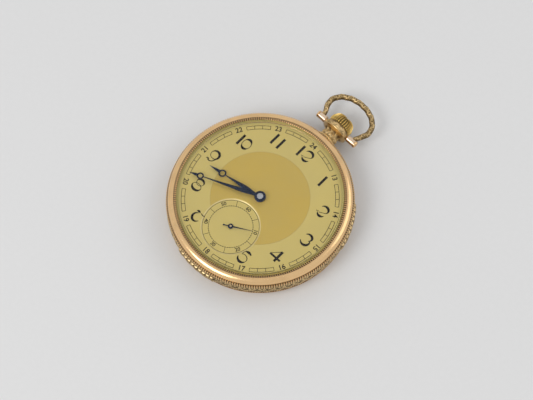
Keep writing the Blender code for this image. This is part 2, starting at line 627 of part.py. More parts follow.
def make_main_plate():
    rim = Z_PLATE + 0.8
    profile = [(0, Z_PLATE), (PLATE_RADIUS, Z_PLATE), (PLATE_RADIUS, rim), (DIAL_RADIUS, rim),
               (DIAL_RADIUS, Z_DIAL - SLIP), (DIAL_RADIUS - 1.2, Z_DIAL - SLIP),
               (DIAL_RADIUS - 1.2, Z_PLATE_TOP), (0, Z_PLATE_TOP)]
    plate = add("main_plate", revolve(profile, ROUND), NICKEL)
    cut(plate, drum(SETTING_PITCH + 0.35, SETTING_POCKET_Z, Z_PLATE_TOP + 1, 24, SETTING))
    posts = group(drum(0.4, SETTING_POCKET_Z - 0.2, Z_DIAL - 0.15, 10, SETTING),
                  drum(0.35, Z_PLATE_TOP - 0.2, Z_DIAL - 0.15, 10, MINUTE))
    join(plate, posts)

    cut(plate, *keyless_rooms())

    def drill(radius, point):
        return drum(radius + SLIP, Z_PLATE - 1, Z_PLATE_TOP + 0.4, SMALL, point)

    holes = [drill(BARREL_PIVOT, BARREL), drill(CENTRE_ARBOR, CENTRE), drill(PIVOT, THIRD),
             drill(PIVOT, FOURTH), drill(PIVOT, ESCAPE), drill(PIVOT, PALLET),
             drill(BALANCE_PIVOT, BALANCE)]
    holes += [drill(0.4, foot) for foot in DIAL_FEET]
    holes += [drill(SCREW_SHANK, point) for point in CASE_SCREWS + BARREL_BRIDGE_SCREWS]
    holes += [drill(SCREW_SHANK, point) for point in TRAIN_BRIDGE_SCREWS + [COCK_FOOT]]
    holes += [drill(0.25, point) for point in PALLET_FEET]
    holes.append(drill(0.25, (LEVER_PIVOT_X, GROOVE_Y + STEM_TRAVEL / 2)))
    slot = [(0.35, GROOVE_Y - 0.4), (1.25, GROOVE_Y - 0.4),
            (1.25, GROOVE_Y + STEM_TRAVEL + 0.4), (0.35, GROOVE_Y + STEM_TRAVEL + 0.4)]
    holes.append(prism(slot, Z_PLATE - 1, Z_PLATE_TOP + 0.4))
    cut(plate, group(*holes))


def bridge_disc(name):
    return add(name, drum(BRIDGE_RADIUS, BRIDGE_OUTER_Z, Z_BRIDGE, ROUND), NICKEL)


def through(point, radius, sides=SMALL):
    return drum(radius, BRIDGE_OUTER_Z - 1, Z_BRIDGE + 0.4, sides, point)


def screw_hole(point):
    return drum(SCREW_SHANK + SLIP, BRIDGE_OUTER_Z - 1, Z_PLATE + 1, SMALL, point)


def make_bridges():
    far = 1.3 * BRIDGE_RADIUS
    low, high = BRIDGE_OUTER_Z - 1, Z_BRIDGE + 1
    foot_in, foot_out = BRIDGE_RADIUS - 2.0, BRIDGE_RADIUS - 0.1
    foot_z = (Z_BRIDGE - 0.2, Z_PLATE - SLIP)
    bend = [(1.6, 1.6), (3.4, -3.0)]
    balance_room = drum(BALANCE_RADIUS + 0.2, low, high, 28, BALANCE)

    barrel_bridge = bridge_disc("barrel_bridge")
    lower = [(-far, 1.6)] + [(x * UNIT, y * UNIT) for x, y in bend]
    lower += [(far, -3.0 * UNIT), (far, -far), (-far, -far)]
    cut(barrel_bridge, prism(lower, low, high), balance_room)
    feet = [prism(sector(foot_in, foot_out, start, stop, 8), *foot_z)
            for start, stop in ((14, 69), (98, 168))]
    join(barrel_bridge, group(*feet))
    cut(barrel_bridge, *keyless_rooms())
    holes = [through(BARREL, 0.9 + SLIP, 16), through(CASE_SCREWS[1], 1.5, 16),
             through(CLICK_PIVOT, 0.3 + SLIP), through(CROWN_WHEEL, 0.4 + SLIP)]
    cut(barrel_bridge, group(*holes, *[screw_hole(point) for point in BARREL_BRIDGE_SCREWS]))

    train_bridge = bridge_disc("train_bridge")
    split = 0.3                                   # slit between the bridges
    upper = [(-far, 1.6 - split)] + [(x * UNIT - 0.7 * split, y * UNIT - split) for x, y in bend]
    upper += [(far, -3.0 * UNIT - split), (far, far), (-far, far)]
    left = [(-far, -far), (-7.2 * UNIT, -far), (-7.2 * UNIT, far), (-far, far)]
    cut(train_bridge, prism(upper, low, high), prism(left, low - 0.1, high + 0.1), balance_room)
    join(train_bridge, prism(sector(foot_in, foot_out, -108, -14, 12), *foot_z))
    holes = [through(CENTRE, CENTRE_ARBOR + SLIP), through(THIRD, PIVOT + SLIP),
             through(FOURTH, PIVOT + SLIP), through(ESCAPE, PIVOT + SLIP)]
    cut(train_bridge, group(*holes, *[screw_hole(point) for point in TRAIN_BRIDGE_SCREWS]))

    arm = hull([((0, 0), 2.1), ((BALANCE[0] - COCK_FOOT[0], BALANCE[1] - COCK_FOOT[1]), 1.7)])
    cock = add("balance_cock", prism(arm, BRIDGE_OUTER_Z, Z_BRIDGE - 0.15), NICKEL, at(COCK_FOOT))
    join(cock, drum(2.0, BRIDGE_OUTER_Z + 0.1, Z_PLATE - SLIP, 16))
    staff = (BALANCE[0] - COCK_FOOT[0], BALANCE[1] - COCK_FOOT[1])
    cut(cock, group(through(staff, BALANCE_PIVOT + SLIP), screw_hole((0, 0))))

    spots = [(x - PALLET[0], y - PALLET[1]) for x, y in PALLET_FEET]
    bar = hull([(spots[0], 0.8), ((0, 0), 0.75), (spots[1], 0.8)], 12)
    pallet_cock = add("pallet_cock", prism(bar, level(1.23), level(1.48)), NICKEL, at(PALLET))
    join(pallet_cock, group(*[drum(0.7, level(1.35), Z_PLATE - SLIP, 12, spot) for spot in spots]))
    cut(pallet_cock, group(*[drum(0.25 + SLIP, level(1.0), Z_PLATE + 1, 10, spot)
                             for spot in spots], drum(PIVOT + SLIP, level(1.0), Z_PLATE, 10)))


def make_bridge_screws():
    for i, point in enumerate(BARREL_BRIDGE_SCREWS):
        screw(f"barrel_bridge_screw_{i + 1}", point, BRIDGE_OUTER_Z - SLIP, 0.95, 0.35,
              SCREW_SHANK, Z_PLATE_TOP - BRIDGE_OUTER_Z - 0.2, BLUED_STEEL, 25 + 50 * i)
    for i, point in enumerate(TRAIN_BRIDGE_SCREWS):
        screw(f"train_bridge_screw_{i + 1}", point, BRIDGE_OUTER_Z - SLIP, 0.95, 0.35,
              SCREW_SHANK, Z_PLATE_TOP - BRIDGE_OUTER_Z - 0.2, BLUED_STEEL, 70 - 35 * i)
    screw("balance_cock_screw", COCK_FOOT, BRIDGE_OUTER_Z - SLIP, 0.95, 0.35, SCREW_SHANK,
          Z_PLATE_TOP - BRIDGE_OUTER_Z - 0.2, BLUED_STEEL, 15)
    for i, point in enumerate(PALLET_FEET):
        screw(f"pallet_cock_screw_{i + 1}", point, level(1.23) - SLIP, 0.5, 0.16, 0.25,
              Z_PLATE_TOP - level(1.23) - 0.1, STEEL, 40 * i)
    for side, point in zip(("left", "right"), CASE_SCREWS):
        screw(f"case_screw_{side}", point, Z_PLATE - SLIP, 0.95, 0.35, SCREW_SHANK,
              PLATE_THICKNESS - 0.1, STEEL, 30)


# ---- barrel and winding wheels ----------------------------------------------------------------
def spiral(inner, outer, turns, steps, thickness, z_low, z_high, start=0.0):
    """Ribbon wound in an even spiral, standing on edge."""
    points, faces = [], []
    for i in range(steps + 1):
        share = i / steps
        turn = start + 360 * turns * share
        middle = inner + (outer - inner) * share
        for radius, z in ((middle - thickness / 2, z_low), (middle + thickness / 2, z_low),
                          (middle + thickness / 2, z_high), (middle - thickness / 2, z_high)):
            points.append((*polar((0, 0), radius, turn), z))
    for i in range(steps):
        for k in range(4):
            a, b = 4 * i + k, 4 * i + (k + 1) % 4
            faces.append((a, b, b + 4, a + 4))
    faces += [(0, 1, 2, 3), (4 * steps + 3, 4 * steps + 2, 4 * steps + 1, 4 * steps)]
    return points, faces


def make_barrel():
    wall = BARREL_PITCH - 0.5
    floor, top = level(2.3), level(0.75)
    shell = [(BARREL_PIVOT + SLIP + 0.05, floor), (wall, floor), (wall, top), (wall - 0.35, top),
             (wall - 0.35, floor - 0.2), (BARREL_PIVOT + SLIP + 0.05, floor - 0.2)]
    barrel = add("barrel", revolve(shell, FINE), BRASS, at(BARREL), BARREL_TURN)
    outline = tooth_outline(BARREL_TEETH, BARREL_PITCH)
    join(barrel, prism(outline, floor - 0.4, floor - 0.001, [circle(wall - 0.2, FINE)]))

    lid = ring(0.9 + SLIP, wall - 0.35 - SLIP, top + 0.02, top + 0.2)
    add("barrel_cover", lid, BRASS, at(BARREL))
    room = wall - 0.35
    ribbon = spiral(1.55, room - 0.35, 5, 60, 0.16, top + 0.3, floor - 0.3)
    add("mainspring", ribbon, STEEL, at(BARREL))

    square = Z_RATCHET_TOP - 0.05
    arbor = [(0, square + 0.3), (0.35, square + 0.3), (0.35, square), (BARREL_PIVOT, square),
             (BARREL_PIVOT, BRIDGE_OUTER_Z - SLIP), (0.9, BRIDGE_OUTER_Z - SLIP),
             (0.9, top + 0.25), (1.3, top + 0.25), (1.3, floor - 0.25),
             (BARREL_PIVOT, floor - 0.25), (BARREL_PIVOT, Z_PLATE_TOP - 0.3), (0, Z_PLATE_TOP - 0.3)]
    add("barrel_arbor", revolve(arbor, 12), STEEL, at(BARREL))

    ratchet = prism(tooth_outline(RATCHET_TEETH, RATCHET_PITCH), Z_RATCHET_TOP, Z_RATCHET_TOP + 0.35,
                    [circle(BARREL_PIVOT + SLIP, 16)])
    add("ratchet_wheel", ratchet, STEEL, at(BARREL), RATCHET_TURN)
    screw("ratchet_screw", BARREL, Z_RATCHET_TOP - SLIP - 0.02, 1.15, 0.28, 0.28, 0.22,
          BLUED_STEEL, 60)

    wheel = prism(tooth_outline(CROWN_WHEEL_TEETH, CROWN_WHEEL_PITCH), Z_RATCHET_TOP,
                  Z_RATCHET_TOP + 0.35, [circle(0.9, 16)])
    add("crown_wheel", wheel, STEEL, at(CROWN_WHEEL), CROWN_WHEEL_TURN)
    core = revolve([(0, Z_RATCHET_TOP - 0.3), (1.2, Z_RATCHET_TOP - 0.3),
                    (1.2, Z_RATCHET_TOP - SLIP), (0.85, Z_RATCHET_TOP - SLIP),
                    (0.85, BRIDGE_OUTER_Z - SLIP), (0.4, BRIDGE_OUTER_Z - SLIP),
                    (0.4, Z_BRIDGE - 0.35), (0, Z_BRIDGE - 0.35)], 12)
    add("crown_wheel_screw", core, BLUED_STEEL, at(CROWN_WHEEL))


CROWN_WHEEL_TURN = 90.0
RATCHET_TURN = in_mesh(CROWN_WHEEL, CROWN_WHEEL_TEETH, CROWN_WHEEL_TURN, BARREL, RATCHET_TEETH)
CENTRE_TURN = 0.0
BARREL_TURN = in_mesh(CENTRE, CENTRE_PINION, CENTRE_TURN, BARREL, BARREL_TEETH)
THIRD_TURN = in_mesh(CENTRE, CENTRE_TEETH, CENTRE_TURN, THIRD, THIRD_PINION)
FOURTH_TURN = in_mesh(THIRD, THIRD_TEETH, THIRD_TURN, FOURTH, FOURTH_PINION)
ESCAPE_TURN = in_mesh(FOURTH, FOURTH_TEETH, FOURTH_TURN, ESCAPE, ESCAPE_PINION)


def make_click():
    """Click whose beak rests in the ratchet wheel's teeth, with its screw and spring."""
    contact = polar(BARREL, RATCHET_PITCH + 0.19, 62)
    beak = (contact[0] - CLICK_PIVOT[0], contact[1] - CLICK_PIVOT[1])
    arm = hull([((0, 0), 0.9), ((beak[0] * 0.8, beak[1] * 0.8), 0.32), (beak, 0.03)], 14)
    add("click", prism(arm, Z_RATCHET_TOP, Z_RATCHET_TOP + 0.35, [circle(0.38, 10)]),
        STEEL, at(CLICK_PIVOT))
    screw("click_screw", CLICK_PIVOT, Z_RATCHET_TOP - SLIP, 0.65, 0.25, 0.3,
          Z_BRIDGE - Z_RATCHET_TOP - 0.2, BLUED_STEEL, 100)
    anchor = polar(CENTRE, BRIDGE_RADIUS - 1.6, 74)
    nose = polar(CLICK_PIVOT, 1.35, bearing(CLICK_PIVOT, contact) - 62)
    spring = prism(hull([(anchor, 0.75)], 14), Z_RATCHET_TOP, Z_RATCHET_TOP + 0.35)
    piece = add("click_spring", spring, STEEL)
    join(piece, prism(hull([(anchor, 0.35), (nose, 0.08)], 10), Z_RATCHET_TOP + 0.06,
                      Z_RATCHET_TOP + 0.29))


# ---- going train -------------------------------------------------------------------------
def train_wheel(name, point, turn, wheel, pinion, arbor):
    """Wheel, pinion and arbor of one axle: wheel and pinion are (teeth, pitch, z, z)."""
    teeth, pitch, low, high = wheel
    rim = pitch - 3.2 * pitch / teeth - 0.25
    disc = prism(tooth_outline(teeth, pitch), low, high, crossings(1.1, rim, 4, 0.5))
    piece = add(name, disc, BRASS, at(point), turn)
    leaf_teeth, leaf_pitch, leaf_low, leaf_high = pinion
    join(piece, revolve(arbor, SMALL),
         prism(tooth_outline(leaf_teeth, leaf_pitch), leaf_low, leaf_high))


def spindle(radius, z_low, z_high):
    """Profile of a plain arbor."""
    return [(0, z_low), (radius, z_low), (radius, z_high), (0, z_high)]


def make_train():
    train_wheel("centre_wheel", CENTRE, CENTRE_TURN,
                (CENTRE_TEETH, CENTRE_PITCH, level(0.17), level(0.35)),
                (CENTRE_PINION, BARREL_PITCH * CENTRE_PINION / BARREL_TEETH, level(1.5), level(2.3)),
                spindle(CENTRE_ARBOR, Z_ARBOR_LOW, Z_CANNON_TOP - 0.05))
    train_wheel("third_wheel", THIRD, THIRD_TURN,
                (THIRD_TEETH, THIRD_PITCH, level(0.47), level(0.62)),
                (THIRD_PINION, CENTRE_PITCH * THIRD_PINION / CENTRE_TEETH, level(0.1), level(0.4)),
                spindle(PIVOT, Z_ARBOR_LOW, Z_ARBOR_HIGH))
    train_wheel("fourth_wheel", FOURTH, FOURTH_TURN,
                (FOURTH_TEETH, FOURTH_PITCH, level(1.15), level(1.31)),
                (FOURTH_PINION, THIRD_PITCH * FOURTH_PINION / THIRD_TEETH, level(0.4), level(0.75)),
                spindle(PIVOT, Z_ARBOR_LOW, Z_SECONDS + 0.2))

    step = 360 / ESCAPE_TEETH
    root = 0.78 * ESCAPE_RADIUS
    outline = []
    for i in range(ESCAPE_TEETH):
        for radius, share in ((root, 0.0), (ESCAPE_RADIUS, 0.2), (ESCAPE_RADIUS, 0.36)):
            outline.append(polar((0, 0), radius, (i + share) * step))
    wheel = prism(outline, level(1.75), level(1.95), crossings(0.65, root - 0.35, 4, 0.35))
    escape = add("escape_wheel", wheel, STEEL, at(ESCAPE), ESCAPE_TURN)
    arbor = spindle(PIVOT, Z_ARBOR_LOW, Z_ARBOR_HIGH)
    pinion_pitch = FOURTH_PITCH * ESCAPE_PINION / FOURTH_TEETH
    join(escape, revolve(arbor, SMALL),
         prism(tooth_outline(ESCAPE_PINION, pinion_pitch), level(1.05), level(1.45)))


def make_escapement():
    side = [(0.35, 0.35), (2.55, 0.13), (2.65, 0.34), (3.0, 0.33), (2.97, 0.16), (2.72, 0.15)]
    stone = [(-0.3, 0.35), (-0.22, 1.12), (-0.74, 1.22), (-0.68, 1.5), (-0.05, 1.68), (0.2, 1.2)]
    upper = [(x * UNIT, y * UNIT) for x, y in stone + side]
    outline = upper + [(x, -y) for x, y in reversed(upper)]
    fork = add("pallet_fork", prism(swung(outline, LINE_OF_CENTRES), level(1.75), level(1.95)),
               STEEL, at(PALLET))
    join(fork, revolve(spindle(PIVOT, level(1.25), Z_ARBOR_HIGH), SMALL))

    rim = BALANCE_RADIUS
    inside = rim - 0.65
    bar = math.degrees(math.asin(0.45 / inside))
    holes = [sector(0.01, inside, start + bar, start + 180 - bar, 10)[:11] for start in (0, 180)]
    wheel = prism(circle(rim, FINE), level(0.55), level(1.0), holes)
    balance = add("balance", wheel, BRASS, at(BALANCE), LINE_OF_CENTRES)
    staff = [(0, Z_ARBOR_LOW), (BALANCE_PIVOT, Z_ARBOR_LOW), (BALANCE_PIVOT, level(-0.05)),
             (0.5, level(-0.05)), (0.5, level(0.4)), (0.85, level(0.4)), (0.85, level(1.1)),
             (0.3, level(1.1)), (0.3, level(1.55)), (1.1, level(1.55)), (1.1, level(1.67)),
             (0.3, level(1.67)), (0.3, level(2.3)), (BALANCE_PIVOT, level(2.3)),
             (BALANCE_PIVOT, Z_ARBOR_HIGH), (0, Z_ARBOR_HIGH)]
    pin = drum(0.1, level(1.6), level(1.95), 8, (-0.85, 0))
    join(balance, revolve(staff, SMALL), pin)

    outer = 2.8 * UNIT
    low, high = level(0.0), level(0.16)
    coil = spiral(0.68, outer, 5, 60, 0.05, low, high)
    spring = add("hairspring", coil, BLUED_STEEL, at(BALANCE), HAIRSPRING_TURN)
    join(spring, prism([(outer - 0.12, -0.3), (outer + 0.38, -0.3), (outer + 0.38, 0.25),
                        (outer - 0.12, 0.25)], BRIDGE_OUTER_Z + 0.3, high + 0.03))

    tail = 4.6 * UNIT
    arm = hull([((0, 0), 1.35), ((tail, 0), 0.12)], 18)
    add("regulator", prism(arm, BRIDGE_OUTER_Z - 0.35, BRIDGE_OUTER_Z - SLIP,
                           [circle(0.75, 16)]), STEEL, at(BALANCE), REGULATOR_TURN)


# ---- dial side -----------------------------------------------------------------------------
def make_dial():
    disc = ring(HOUR_TUBE + 0.2, DIAL_RADIUS, Z_DIAL, Z_DIAL_TOP, ROUND)
    dial = add("dial", disc, CHAMPAGNE)
    cut(dial, drum(SECONDS_RECESS, Z_DIAL_TOP - RECESS_DEPTH, Z_DIAL_TOP + 1, 32, FOURTH),
        drum(0.35, Z_DIAL - 1, Z_DIAL_TOP + 1, 10, FOURTH))
    join(dial, group(*[drum(0.4, Z_PLATE + 0.3, Z_DIAL + 0.1, SMALL, foot) for foot in DIAL_FEET]))


def hand_outline(length, hub, eye_at, eye_radius, leaf, leaf_at, tip_width):
    """Leaf hand along +X with a ring near its point: the widest of its forms at each place."""
    def half_width(x):
        forms = [0.11]
        if abs(x) < hub:
            forms.append(math.sqrt(hub ** 2 - x ** 2))
        if abs(x - eye_at) < eye_radius:
            forms.append(math.sqrt(eye_radius ** 2 - (x - eye_at) ** 2))
        if x < leaf_at:
            forms.append(0.42 + (leaf - 0.42) * max(x, 0) / leaf_at)
        elif x < eye_at:
            forms.append(0.11 + (leaf - 0.11) * ((eye_at - x) / (eye_at - leaf_at)) ** 1.3)
        else:
            forms.append(tip_width * (length - x) / (length - eye_at))
        return max(forms)

    stations = [hub * math.cos(math.radians(turn)) for turn in range(160, 19, -28)]
    stations += [leaf_at * 0.6, leaf_at, leaf_at + 0.35 * (eye_at - leaf_at),
                 leaf_at + 0.7 * (eye_at - leaf_at)]
    stations += [eye_at + eye_radius * math.cos(math.radians(turn)) for turn in range(170, 9, -32)]
    stations += [eye_at + 0.5 * (length - eye_at)]
    side = [(x, half_width(x)) for x in stations]
    return [(-hub, 0.0)] + [(x, -y) for x, y in side] + [(length, 0.0)] + side[::-1]


def make_hands():
    hour = hand_outline(HOUR_HAND_LENGTH, 1.4, 10.8, 0.95, 0.68, 4.2, 0.42)
    add("hour_hand", prism(hour, Z_HOUR_HAND, Z_HOUR_HAND + HAND_THICKNESS,
                           [circle(HOUR_TUBE + SLIP, 16), circle(0.58, 12, (10.8, 0))]),
        BLUED_STEEL, turn=90 - HOUR_ANGLE)
    minute = hand_outline(MINUTE_HAND_LENGTH, 1.35, 15.1, 0.85, 0.66, 5.0, 0.36)
    add("minute_hand", prism(minute, Z_MINUTE_HAND, Z_MINUTE_HAND + HAND_THICKNESS,
                             [circle(CANNON_TUBE + SLIP, 16), circle(0.5, 12, (15.1, 0))]),
        BLUED_STEEL, turn=90 - MINUTE_ANGLE)

    boss = circle(0.65, 12)
    needle = [point for point in boss if abs(point[1]) > 0.2 or abs(point[0]) < 0.3]
    right = [(SECONDS_HAND_LENGTH, -0.05), (SECONDS_HAND_LENGTH, 0.05), (0.62, 0.13)]
    upper = [point for point in needle if point[1] > 0.2]
    tail = [(-0.62, 0.12), (-1.25, 0.1), (-1.45, 0.28), (-1.75, 0.28), (-1.9, 0.0),
            (-1.75, -0.28), (-1.45, -0.28), (-1.25, -0.1), (-0.62, -0.12)]
    lower = [point for point in needle if point[1] < -0.2]
    outline = right + upper + tail + lower + [(0.62, -0.13)]
    add("seconds_hand", prism(outline, Z_SECONDS, Z_SECONDS + 0.08, [circle(PIVOT + SLIP, 10)]),
        BLUED_STEEL, at(FOURTH), 90 - SECONDS_ANGLE)


def make_motion_work():
    low, mid, high = Z_PLATE_TOP + SLIP, Z_PLATE_TOP + 0.3, Z_PLATE_TOP + 0.6
    bore = CENTRE_ARBOR + SLIP
    cannon = prism(tooth_outline(CANNON_TEETH, CANNON_PITCH), low, mid, [circle(bore, 16)])
    piece = add("cannon_pinion", cannon, STEEL, turn=CANNON_TURN)
    join(piece, revolve([(bore, mid - 0.1), (CANNON_TUBE, mid - 0.1),
                         (CANNON_TUBE, Z_CANNON_TOP), (bore, Z_CANNON_TOP)], 16))

    minute = prism(tooth_outline(MINUTE_TEETH, MINUTE_PITCH), low, mid, [circle(0.4, SMALL)])
    piece = add("minute_wheel", minute, BRASS, at(MINUTE), MINUTE_TURN)
    join(piece, prism(tooth_outline(MINUTE_PINION, MINUTE_PINION_PITCH), mid - 0.1, high,
                      [circle(0.4, SMALL)]))

    bore = CANNON_TUBE + SLIP
    hour = prism(tooth_outline(HOUR_TEETH, HOUR_PITCH), mid + SLIP, high,
                 [circle(bore, 16)])
    piece = add("hour_wheel", hour, BRASS, turn=HOUR_TURN)
    join(piece, revolve([(bore, high - 0.1), (HOUR_TUBE, high - 0.1),
                         (HOUR_TUBE, Z_HOUR_HAND + HAND_THICKNESS + 0.08),
                         (bore, Z_HOUR_HAND + HAND_THICKNESS + 0.08)], 16))

    setting = prism(tooth_outline(SETTING_TEETH, SETTING_PITCH), SETTING_POCKET_Z + SLIP, mid,
                    [circle(0.45, SMALL)])
    add("setting_wheel", setting, STEEL, at(SETTING), SETTING_TURN)


CANNON_TURN = 0.0
MINUTE_TURN = in_mesh(CENTRE, CANNON_TEETH, CANNON_TURN, MINUTE, MINUTE_TEETH)
HOUR_TURN = in_mesh(MINUTE, MINUTE_PINION, MINUTE_TURN, CENTRE, HOUR_TEETH)
SETTING_TURN = in_mesh(MINUTE, MINUTE_TEETH, MINUTE_TURN, SETTING, SETTING_TEETH)


def main():
    for leftover in list(bpy.data.objects):
        bpy.data.objects.remove(leftover, do_unlink=True)
    make_case()
    make_crystal()
    make_pendant()
    make_bow()
    make_crown()
    make_keyless_work()
    make_main_plate()
    make_bridges()
    make_bridge_screws()
    make_barrel()
    make_click()
    make_train()
    make_escapement()
    make_dial()
    make_hands()
    make_motion_work()


main()
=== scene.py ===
"""Open face pocket watch: its finished surfaces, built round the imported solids.

Lengths inside the functions are millimetres; meshes are metres.  +Z leaves the dial, +Y points
to 12 o'clock, and the origin is on the hand arbor's axis at the flat middle of the back.
"""

import json
import math

import bmesh
import bpy
import numpy as np
from mathutils import Matrix, Vector


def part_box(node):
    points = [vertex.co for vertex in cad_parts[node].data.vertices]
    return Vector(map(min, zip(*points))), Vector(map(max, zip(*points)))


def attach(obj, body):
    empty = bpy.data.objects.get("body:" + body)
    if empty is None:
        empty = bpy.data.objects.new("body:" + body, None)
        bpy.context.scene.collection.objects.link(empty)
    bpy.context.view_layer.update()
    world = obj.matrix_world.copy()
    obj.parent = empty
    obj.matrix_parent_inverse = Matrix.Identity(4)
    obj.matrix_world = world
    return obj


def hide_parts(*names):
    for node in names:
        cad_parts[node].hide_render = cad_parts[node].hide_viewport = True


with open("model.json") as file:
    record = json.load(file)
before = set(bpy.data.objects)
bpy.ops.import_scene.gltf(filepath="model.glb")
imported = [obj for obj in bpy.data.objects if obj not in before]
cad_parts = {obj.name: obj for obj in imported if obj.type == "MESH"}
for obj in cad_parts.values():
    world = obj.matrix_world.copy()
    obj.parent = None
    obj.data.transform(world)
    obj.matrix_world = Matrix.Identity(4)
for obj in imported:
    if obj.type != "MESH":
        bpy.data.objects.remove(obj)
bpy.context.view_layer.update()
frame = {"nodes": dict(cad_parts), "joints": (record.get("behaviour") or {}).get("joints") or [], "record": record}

bl_info = {
    "name": "Open Face Pocket Watch",
    "version": (1, 0, 0),
    "blender": (4, 5, 0),
    "location": "View3D > Sidebar > Pocket Watch",
    "description": "Builds the finished surfaces of an open face pocket watch round its solids",
    "category": "Object",
}

MM = 0.001
TURN = 2 * math.pi


# ---- places read from the solids -----------------------------------------------------------
def span(node):
    """Lowest and highest corner of a solid at rest, in millimetres."""
    low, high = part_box(node)
    return np.array(low) / MM, np.array(high) / MM


def pivot(joint):
    """A joint's point at rest, in millimetres."""
    found = next(row for row in frame["joints"] if row["name"] == joint)
    return np.array(found["pos_m"]) / MM


BEZEL_LOW, BEZEL_HIGH = span("bezel")
BAND_LOW, BAND_HIGH = span("case_middle")
BACK_HIGH = span("back_cover")[1]
DIAL_LOW, DIAL_HIGH = span("dial")
CRYSTAL_LOW, CRYSTAL_HIGH = span("crystal")
CROWN_LOW, CROWN_HIGH = span("crown")
PENDANT_LOW, PENDANT_HIGH = span("pendant")
BOW_HIGH = span("bow")[1]
HOUR_LOW, HOUR_HIGH = span("hour_hand")
MINUTE_LOW, MINUTE_HIGH = span("minute_hand")
SECONDS_LOW, SECONDS_HIGH = span("seconds_hand")
BOW_PIVOT = pivot("bow_swing")
SECONDS_CENTRE = pivot("seconds_turn")[:2]
CASE_RADIUS = BAND_HIGH[0]
BORE = DIAL_HIGH[0] + 0.15                  # case bore that the dial drops into
NECK = BORE + 0.75                          # lips that the bezel and the back snap over
LEDGE = BORE - 0.55                         # ledge that carries the movement
SNAP = NECK + 0.05                          # inside of the bezel's and the back's lips
Z_DIAL = DIAL_HIGH[2]
Z_STEM = BOW_PIVOT[2]
Z_LEDGE = span("main_plate")[0][2] + 0.15
Z_BRIDGE_FACE = span("train_bridge")[0][2]


# ---- sizes and colours ---------------------------------------------------------------------
def length(name, text, default):
    return bpy.props.FloatProperty(name=name, description=text, default=default * MM, min=0.0,
                                   precision=5, unit="LENGTH")


def angle(name, text, default):
    return bpy.props.FloatProperty(name=name, description=text, default=math.radians(default),
                                   unit="ROTATION")


def count(name, text, default):
    return bpy.props.IntProperty(name=name, description=text, default=default, min=3)


def colour(name, text, default):
    return bpy.props.FloatVectorProperty(name=name, description=text, default=default, size=3,
                                         min=0.0, max=1.0, subtype="COLOR")


class WatchCaseSizes(bpy.types.PropertyGroup):
    bezel_teeth: count("Bezel teeth", "Teeth milled round the bezel's inner and outer edge", 240)
    mill_depth: length("Milling depth", "Depth of the milled teeth of the bezel", 0.2)
    engraving_depth: length("Engraving depth", "Depth of the chased leaves of the band", 0.15)
    scroll_pitch: length("Scroll pitch", "Length of one chased leaf scroll along the band", 2.6)
    panel_rise: length("Panel rise", "How far the three cartouches stand out of the band", 0.3)
    panel_half_angle: angle("Panel half angle", "Half the angle that a cartouche covers", 14.5)
    barley_rows: count("Barley rows", "Engine-turned waves round the back", 96)
    barley_depth: length("Barley depth", "Depth of the engine turning of the back", 0.035)


class WatchFittingSizes(bpy.types.PropertyGroup):
    crown_flutes: count("Crown flutes", "Flutes round the winding crown", 30)
    flute_depth: length("Flute depth", "Depth of the crown's flutes", 0.42)
    bow_wire: length("Bow wire", "Radius of the bow's wire", 0.8)
    bow_scroll: length("Bow scroll", "Length of one chased turn along the bow", 2.4)
    bow_depth: length("Bow chasing", "Depth of the chasing of the bow", 0.14)


class WatchDialSizes(bpy.types.PropertyGroup):
    centre_disc: length("Centre disc", "Radius of the darker disc in the middle", 11.8)
    track_inner: length("Track inside", "Inner line of the minute track", 17.75)
    track_outer: length("Track outside", "Outer line of the minute track", 18.6)
    ink_width: length("Ink width", "Width of the fine printed lines", 0.12)
    ink_height: length("Ink height", "How far the print stands out of the dial", 0.012)
    sink_radius: length("Sink radius", "Radius of the sunk seconds dial", 7.05)
    sink_depth: length("Sink depth", "Depth of the sunk seconds dial", 0.18)
    seconds_outer: length("Seconds line", "Outer line of the seconds track", 6.7)
    seconds_inner: length("Seconds dots", "Dotted inner line of the seconds track", 5.25)


class WatchHandSizes(bpy.types.PropertyGroup):
    minute_tip: length("Minute hand", "Arbor to the minute hand's tip", 18.0)
    minute_eye: length("Minute eye", "Arbor to the middle of the minute hand's ring", 15.1)
    hour_tip: length("Hour hand", "Arbor to the hour hand's tip", 14.6)
    hour_eye: length("Hour eye", "Arbor to the middle of the hour hand's ring", 10.8)
    seconds_tip: length("Seconds hand", "Pinion to the seconds hand's tip", 5.3)
    minute_angle: angle("Minute", "Minute hand, clockwise from 12", 247.0)
    hour_angle: angle("Hour", "Hour hand, clockwise from 12", 260.6)
    seconds_angle: angle("Seconds", "Seconds hand, clockwise from 60", 60.0)


class WatchColours(bpy.types.PropertyGroup):
    rose_gold: colour("Rose gold", "Bezel, back and bow tubes", (0.93, 0.62, 0.31))
    band_gold: colour("Band gold", "Chased band", (0.76, 0.55, 0.28))
    crown_gold: colour("Crown gold", "Fluted crown", (0.86, 0.60, 0.19))
    tube_gold: colour("Tube gold", "Plain tubes at the ends of the bow", (0.92, 0.70, 0.50))
    worn_gold: colour("Worn gold", "Chased bow and pendant", (0.80, 0.57, 0.27))
    tarnish: colour("Tarnish", "Dark film in the hollows of the gold", (0.050, 0.030, 0.010))
    chapter: colour("Chapter ring", "Dial outside the middle disc", (0.62, 0.49, 0.14))
    disc: colour("Centre disc", "Middle disc of the dial", (0.56, 0.39, 0.065))
    ink: colour("Ink", "Numbers and tracks", (0.010, 0.006, 0.003))
    blued: colour("Blued steel", "Hands and screws", (0.004, 0.017, 0.048))
    nickel: colour("Nickel", "Plates and bridges", (0.68, 0.66, 0.60))
    steel: colour("Steel", "Levers, springs and winding wheels", (0.60, 0.61, 0.62))
    brass: colour("Brass", "Wheels of the train", (0.80, 0.60, 0.28))
    ruby: colour("Ruby", "Jewels of the movement", (0.55, 0.02, 0.08))
    floor: colour("Floor", "Plain table top", (0.74, 0.74, 0.73))


